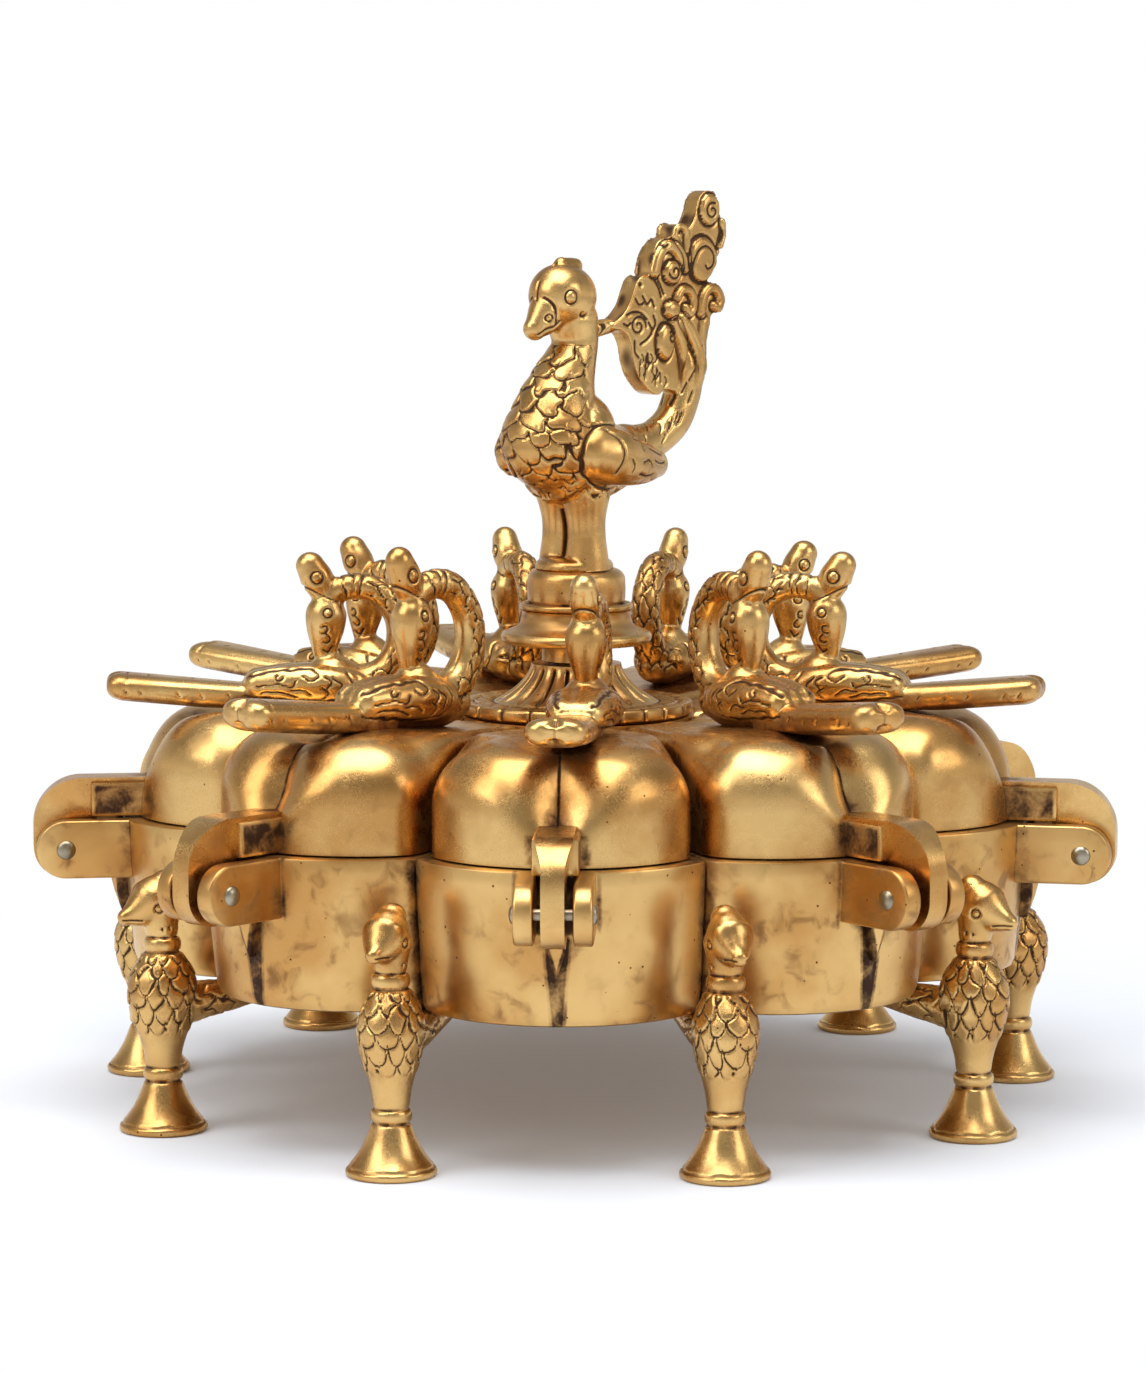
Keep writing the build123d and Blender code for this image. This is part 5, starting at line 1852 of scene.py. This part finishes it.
    @staticmethod
    def engrave_wings(art: Engraving) -> None:
        """Border, feathers and strokes of the wings, rump and stem.

        Args:
            art: The peacock's skin.
        """
        x, y, z = art.places.T
        side = smooth(np.abs(y), 6.6, 8.4) * (z < 34.0) * (z > 12.0)
        art.strokes(art.flat, drawn(
            [(8.6, 23.4), (7.4, 27.6), (3.6, 30.4), (-1.6, 30.2), (-6.4, 28.6)],
            [(8.6, 24.0), (6.8, 19.8), (1.8, 17.4), (-5.0, 16.8), (-10.0, 17.4)],
            [(2.4, 29.4), (0.4, 27.2), (0.0, 24.2), (1.6, 20.4)],
            [(-4.2, 27.6), (-6.4, 26.8), (-6.8, 25.2)], [(-2.4, 23.4), (-3.4, 21.8), (-3.0, 20.6)],
            [(-6.6, 22.4), (-8.8, 22.8), (-10.4, 21.6)],
            [(-5.6, 20.0), (-8.4, 19.4), (-11.2, 19.6)],
            [(-9.6, 25.4), (-12.4, 24.4), (-15.2, 23.6)],
            [(-11.6, 22.6), (-14.2, 21.8), (-16.6, 21.8)]), 0.38, side)
        rng = np.random.default_rng(5)
        rump = (x < -10.0) * (z > 22.0) * (z < 42.0) * smooth(np.abs(art.normals[:, 1]), 0.1, 0.3)
        for _ in range(16):
            t = rng.uniform(0.0, 1.0)
            cx, cz = -14.0 - 17.0 * t, 26.0 + 14.0 * t**2.4 + rng.uniform(-2.4, 2.4)
            barb = spline([(cx, cz), (cx - 0.9, cz + 0.8 + t), (cx - 1.2, cz + 2.2)], 4)
            art.cut(away(art.flat, barb), 0.38, rump * 0.8)

    @staticmethod
    def engrave_fan(art: Engraving) -> None:
        """Raised scrolls and the engraved ground of the fan.

        Args:
            art: The peacock's skin.
        """
        x, y, z = art.places.T
        region = (x < -8.0) * (z > 34.0) * (np.abs(y) > 1.6)
        face = smooth(np.abs(art.normals[:, 1]), 0.55, 0.85) * region
        rim = smooth(np.abs(art.normals[:, 1]), 0.5, 0.2) * (x < -9.0) * smooth(z, 34.0, 40.0)
        grime = 0.52 + 0.24 * wander(art.places, 5.0, 41)
        art.groove = np.maximum(art.groove, np.clip(grime, 0.3, 0.8) * rim * (np.abs(y) < 2.2))
        for cx, cz, wide, high, lift in (
                (-36.3, 74.6, 3.0, 3.6, 1.0), (-34.2, 64.0, 4.4, 5.1, 1.0),
                (-25.3, 61.4, 2.7, 2.7, 1.1),
                (-25.0, 53.5, 2.2, 2.1, 1.6), (-23.3, 46.7, 2.5, 4.0, 1.3)):
            gap = np.hypot((x - cx) / wide, (z - cz) / high)
            art.rise = np.maximum(art.rise, lift * np.sqrt(np.clip(1 - gap**3, 0, 1)) * face)
            art.cut((gap - 1.05) * min(wide, high), 0.38, face * (gap > 0.9) * 0.85)
        for width, height, dark, *knots in (
                (1.35, 0.9, 1.0, (-20.4, 61.4), (-21.4, 64.6), (-23.2, 66.7), (-25.4, 66.8),
                 (-27.4, 65.2), (-28.8, 62.4)),
                (0.8, 0.8, 0.9, (-29.4, 61.6), (-28.7, 65.2), (-26.5, 68.2), (-26.2, 70.0),
                 (-27.7, 71.2), (-29.4, 70.0), (-29.8, 67.0), (-29.8, 62.0)),
                (1.05, 0.95, 1.0, (-26.9, 56.0), (-28.2, 57.6), (-30.4, 57.4), (-31.6, 55.6),
                 (-31.3, 53.3), (-30.0, 52.6), (-29.4, 53.8)),
                (1.15, 0.9, 1.0, (-34.0, 52.6), (-34.4, 55.4), (-36.0, 57.6), (-38.2, 57.6),
                 (-39.6, 55.6), (-39.0, 53.8), (-37.8, 54.0)),
                (1.1, 0.7, 0.6, (-34.9, 51.4), (-34.4, 48.0), (-34.2, 44.0), (-33.9, 40.5)),
                (1.7, 1.4, 0.8, (-28.2, 51.2), (-30.6, 48.0), (-32.2, 44.4), (-32.6, 41.0),
                 (-32.2, 36.0)),
                (1.5, 1.3, 0.8, (-25.8, 50.6), (-27.6, 47.4), (-29.0, 44.0), (-29.6, 40.0),
                 (-29.2, 35.0)),
                (0.8, 0.6, 1.0, (-40.2, 72.0), (-40.5, 69.6), (-39.6, 66.8))):
            art.raise_line(away(art.flat, spline(knots)), width, height,
                           face * smooth(z, 36.0, 42.0), dark)
        art.strokes(art.flat, drawn(
            [(-31.7, 59.6), (-31.0, 62.0), (-31.5, 64.2), (-32.9, 66.1), (-34.8, 66.8),
             (-36.6, 65.7), (-37.2, 63.9), (-36.6, 62.6), (-35.2, 62.0), (-34.6, 62.7)],
            [(-12.4, 52.6), (-14.2, 53.2), (-16.4, 53.0), (-18.4, 51.6)],
            [(-17.0, 56.6), (-18.4, 54.8), (-19.6, 55.8), (-20.4, 54.2)],
            [(-15.0, 56.0), (-16.0, 54.8), (-17.4, 55.0)],
            [(-11.6, 50.8), (-12.8, 50.4), (-13.6, 51.0)],
            [(-18.8, 51.0), (-19.8, 49.2), (-18.6, 47.6), (-16.4, 46.4)],
            [(-20.2, 52.4), (-20.8, 50.8), (-20.2, 49.4)],
            [(-20.0, 60.4), (-21.5, 58.4), (-22.4, 56.2)],
            [(-20.9, 60.7), (-22.2, 58.7), (-23.2, 56.8)],
            [(-21.4, 68.0), (-22.4, 66.8), (-23.6, 67.2)],
            [(-14.8, 47.2), (-14.9, 44.8), (-16.0, 43.6)],
            [(-39.7, 70.6), (-40.0, 69.2), (-39.2, 67.6)]), 0.5, face)
        for centre, start, end, turns, lead in (
                ((-36.6, 74.2), 1.9, 0.5, -1.2, 120.0), ((-25.6, 61.5), 1.7, 0.4, -1.0, -10.0),
                ((-24.6, 47.6), 1.3, 0.4, 1.1, 60.0), ((-15.8, 50.2), 0.5, 2.3, 1.4, 40.0)):
            art.cut(away(art.flat, curl(centre, start, end, turns, lead)), 0.5, face)
        for cx, cz, size in ((-16.3, 59.0, 1.0), (-27.8, 69.7, 0.7), (-25.2, 53.4, 0.3)):
            art.cut(np.hypot(x - cx, z - cz), size, face)
        rng = np.random.default_rng(9)
        for step in range(22):
            cx, cz = -16.4 - 0.34 * step + rng.uniform(-0.4, 0.4), 39.4 + rng.uniform(0.0, 5.4)
            if cz < 47.2 + (cx + 8.0) * 0.95 - 0.5 and cx > -17.5 or cx < -21.6 and cz > 41.0:
                continue
            lean = rng.uniform(-0.7, 0.3)
            barb = spline([(cx, cz), (cx + lean, cz - 1.1), (cx + 0.2, cz - 2.2)], 3)
            art.cut(away(art.flat, barb), 0.36, face * 0.9)

    def build(self, finishes: Finishes) -> None:
        """Make the peacock and stand it on the pedestal.

        Args:
            finishes: The box's finishes.
        """
        parts = [limb.build(32, 64) for limb in self.limbs()] + [self.fan(), self.foot()]
        bird = carve(parts, self.voxel, 3, self.engrave,
                     lambda places: np.maximum(places[:, 2], -0.1))
        turn = Matrix.Rotation(math.radians(self.yaw), 4, "Z")
        bird.data.transform(Matrix.Scale(MM, 4) @ Matrix.Translation((0, 0, self.base)) @ turn)
        Placer.dress(bird, "carved_peacock", "finial", finishes.carved, Slot.CARVED, ["peacock"])


class Underside:
    """CAD pieces in the middle, which keep their shape and get a finish."""

    NODES = ("hub_drum", "hub_base", "centre_stud", "stud_nut")

    def build(self, finishes: Finishes) -> None:
        """Give each of them the dull brass.

        Args:
            finishes: The box's finishes.
        """
        for name in self.NODES:
            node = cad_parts[name]
            node.data.materials.clear()
            node.data.materials.append(finishes.hidden)
            Slot.TURNED.value if "hub" in name else Slot.PIN.value
            log.info("%s: keeps its CAD shape", name)


@dataclass
class Studio:
    """Pale floor, soft lamps, white surroundings and the photograph's camera."""

    camera_place: tuple[float, float, float] = (39.6, -994.8, 194.3)
    target: tuple[float, float, float] = (0.0, 0.0, 100.0)
    lens: float = 125.16
    shift: tuple[float, float] = (-0.0028, -0.0505)
    floor_tone: float = 0.84
    room: tuple[Point, ...] = ((0.5, 0.92), (0.62, 0.56), (0.78, 0.28), (0.92, 0.5))
    lamps: tuple[tuple[str, tuple[float, float, float], float, float], ...] = (
        ("top_box", (-60.0, -160.0, 900.0), 700.0, 6.4),
        ("key_box", (-760.0, -520.0, 760.0), 620.0, 3.6),
        ("side_box", (820.0, -380.0, 560.0), 460.0, 1.7),
    )

    def floor(self) -> None:
        """Lay the pale floor, which turns plain white away from the box."""
        bpy.ops.object.select_all(action="DESELECT")
        bpy.ops.mesh.primitive_plane_add(size=12.0, location=(0.0, 0.0, 0.0))
        plane = bpy.context.object
        plane.name = "pale_floor"
        material = bpy.data.materials.new("pale_floor_paint")
        paint = Paint(material)
        shade = self.floor_tone
        matt = paint.node("ShaderNodeBsdfDiffuse", {}, {
            "Color": (shade * 0.95, shade, shade * 1.08, 1.0)}, "BSDF")
        glow = paint.node("ShaderNodeEmission", {}, {"Color": WHITE, "Strength": 1.0}, "Emission")
        here = paint.node("ShaderNodeTexCoord", {}, {}, "Object")
        reach = paint.node("ShaderNodeVectorMath", {"operation": "LENGTH"}, {0: here}, "Value")
        rays = paint.node("ShaderNodeLightPath", {}, {}, "Is Camera Ray")
        # Camera rays see white emission: all of it away from the box, and 9 % near it, a painted
        # light that lifts the shadow under the box.
        share = rays * (reach.ease(0.12, 0.27) * 0.91 + 0.09)
        both = paint.node("ShaderNodeMixShader", {}, {0: share, 1: matt, 2: glow})
        paint.node("ShaderNodeOutputMaterial", {}, {"Surface": both})
        plane.data.materials.append(material)
        plane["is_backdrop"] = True

    def surroundings(self) -> None:
        """White for the camera, a softly graded room for what shines."""
        world = bpy.data.worlds.new("white_room")
        bpy.context.scene.world = world
        paint = Paint(world)
        stops = [(place, (value, value * 0.99, value * 0.98, 1.0)) for place, value in self.room]
        stops = [(0.0, (0.6, 0.6, 0.6, 1.0)), *stops, (1.0, WHITE)]
        place = paint.node("ShaderNodeTexCoord", {}, {}, "Generated")
        height = paint.node("ShaderNodeMapRange", {}, {0: paint.parts(place)[2], 1: -1.0, 2: 1.0})
        room = paint.node("ShaderNodeValToRGB", {"stops": stops}, {0: height})
        rays = paint.node("ShaderNodeLightPath", {}, {}, "Is Camera Ray")
        back = paint.node("ShaderNodeBackground", {}, {"Color": paint.mix(rays, room, WHITE)})
        paint.node("ShaderNodeOutputWorld", {}, {"Surface": back})

    def aim(self, thing: Piece, place: Sequence[float]) -> None:
        """Turn a lamp or the camera towards the box.

        Args:
            thing: The lamp or camera.
            place: Where it stands, in millimetres.
        """
        thing.rotation_mode = "QUATERNION"
        way = Vector(self.target) - Vector(place)
        thing.rotation_quaternion = way.to_track_quat("-Z", "Y")

    def lights(self) -> None:
        """Hang the soft boxes round the object, all aimed at it."""
        for name, place, size, power in self.lamps:
            bpy.ops.object.select_all(action="DESELECT")
            bpy.ops.object.light_add(type="AREA", location=[v * MM for v in place])
            lamp = bpy.context.object
            lamp.name = name
            lamp.data.shape = "SQUARE"
            lamp.data.size = size * MM
            lamp.data.energy = power
            self.aim(lamp, place)

    def camera(self) -> None:
        """Set the camera where the photograph was taken."""
        bpy.ops.object.select_all(action="DESELECT")
        bpy.ops.object.camera_add(location=[v * MM for v in self.camera_place])
        eye = bpy.context.object
        self.aim(eye, self.camera_place)
        eye.data.sensor_width = 36.0
        eye.data.lens = self.lens
        eye.data.shift_x, eye.data.shift_y = self.shift
        eye.data.clip_start, eye.data.clip_end = 0.01, 20.0
        bpy.context.scene.camera = eye

    def build(self) -> None:
        """Set up floor, surroundings, lamps and camera."""
        bpy.context.scene.view_settings.view_transform = "Standard"
        self.floor()
        self.surroundings()
        self.lights()
        self.camera()


def corners(box: Iterable[Vector]) -> list[list[float]]:
    """Both corners of a box as plain lists."""
    return [list(corner) for corner in box]


def main() -> None:
    """Build the studio and every piece of the box."""
    logging.basicConfig(level=logging.INFO, format="%(message)s")
    Studio().build()
    finishes = Finishes()
    PetalCups().build(finishes)
    PetalLids().build(finishes)
    LidBirds().build(finishes)
    BirdLegs().build(finishes)
    HingePins().build(finishes)
    finial = Finial()
    finial.bell(finishes)
    finial.pedestal(finishes)
    Peacock().build(finishes)
    Underside().build(finishes)
    {"cad": corners(CAD_BOX), "visual": corners(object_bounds())}


if __name__ == "__main__":
    main()
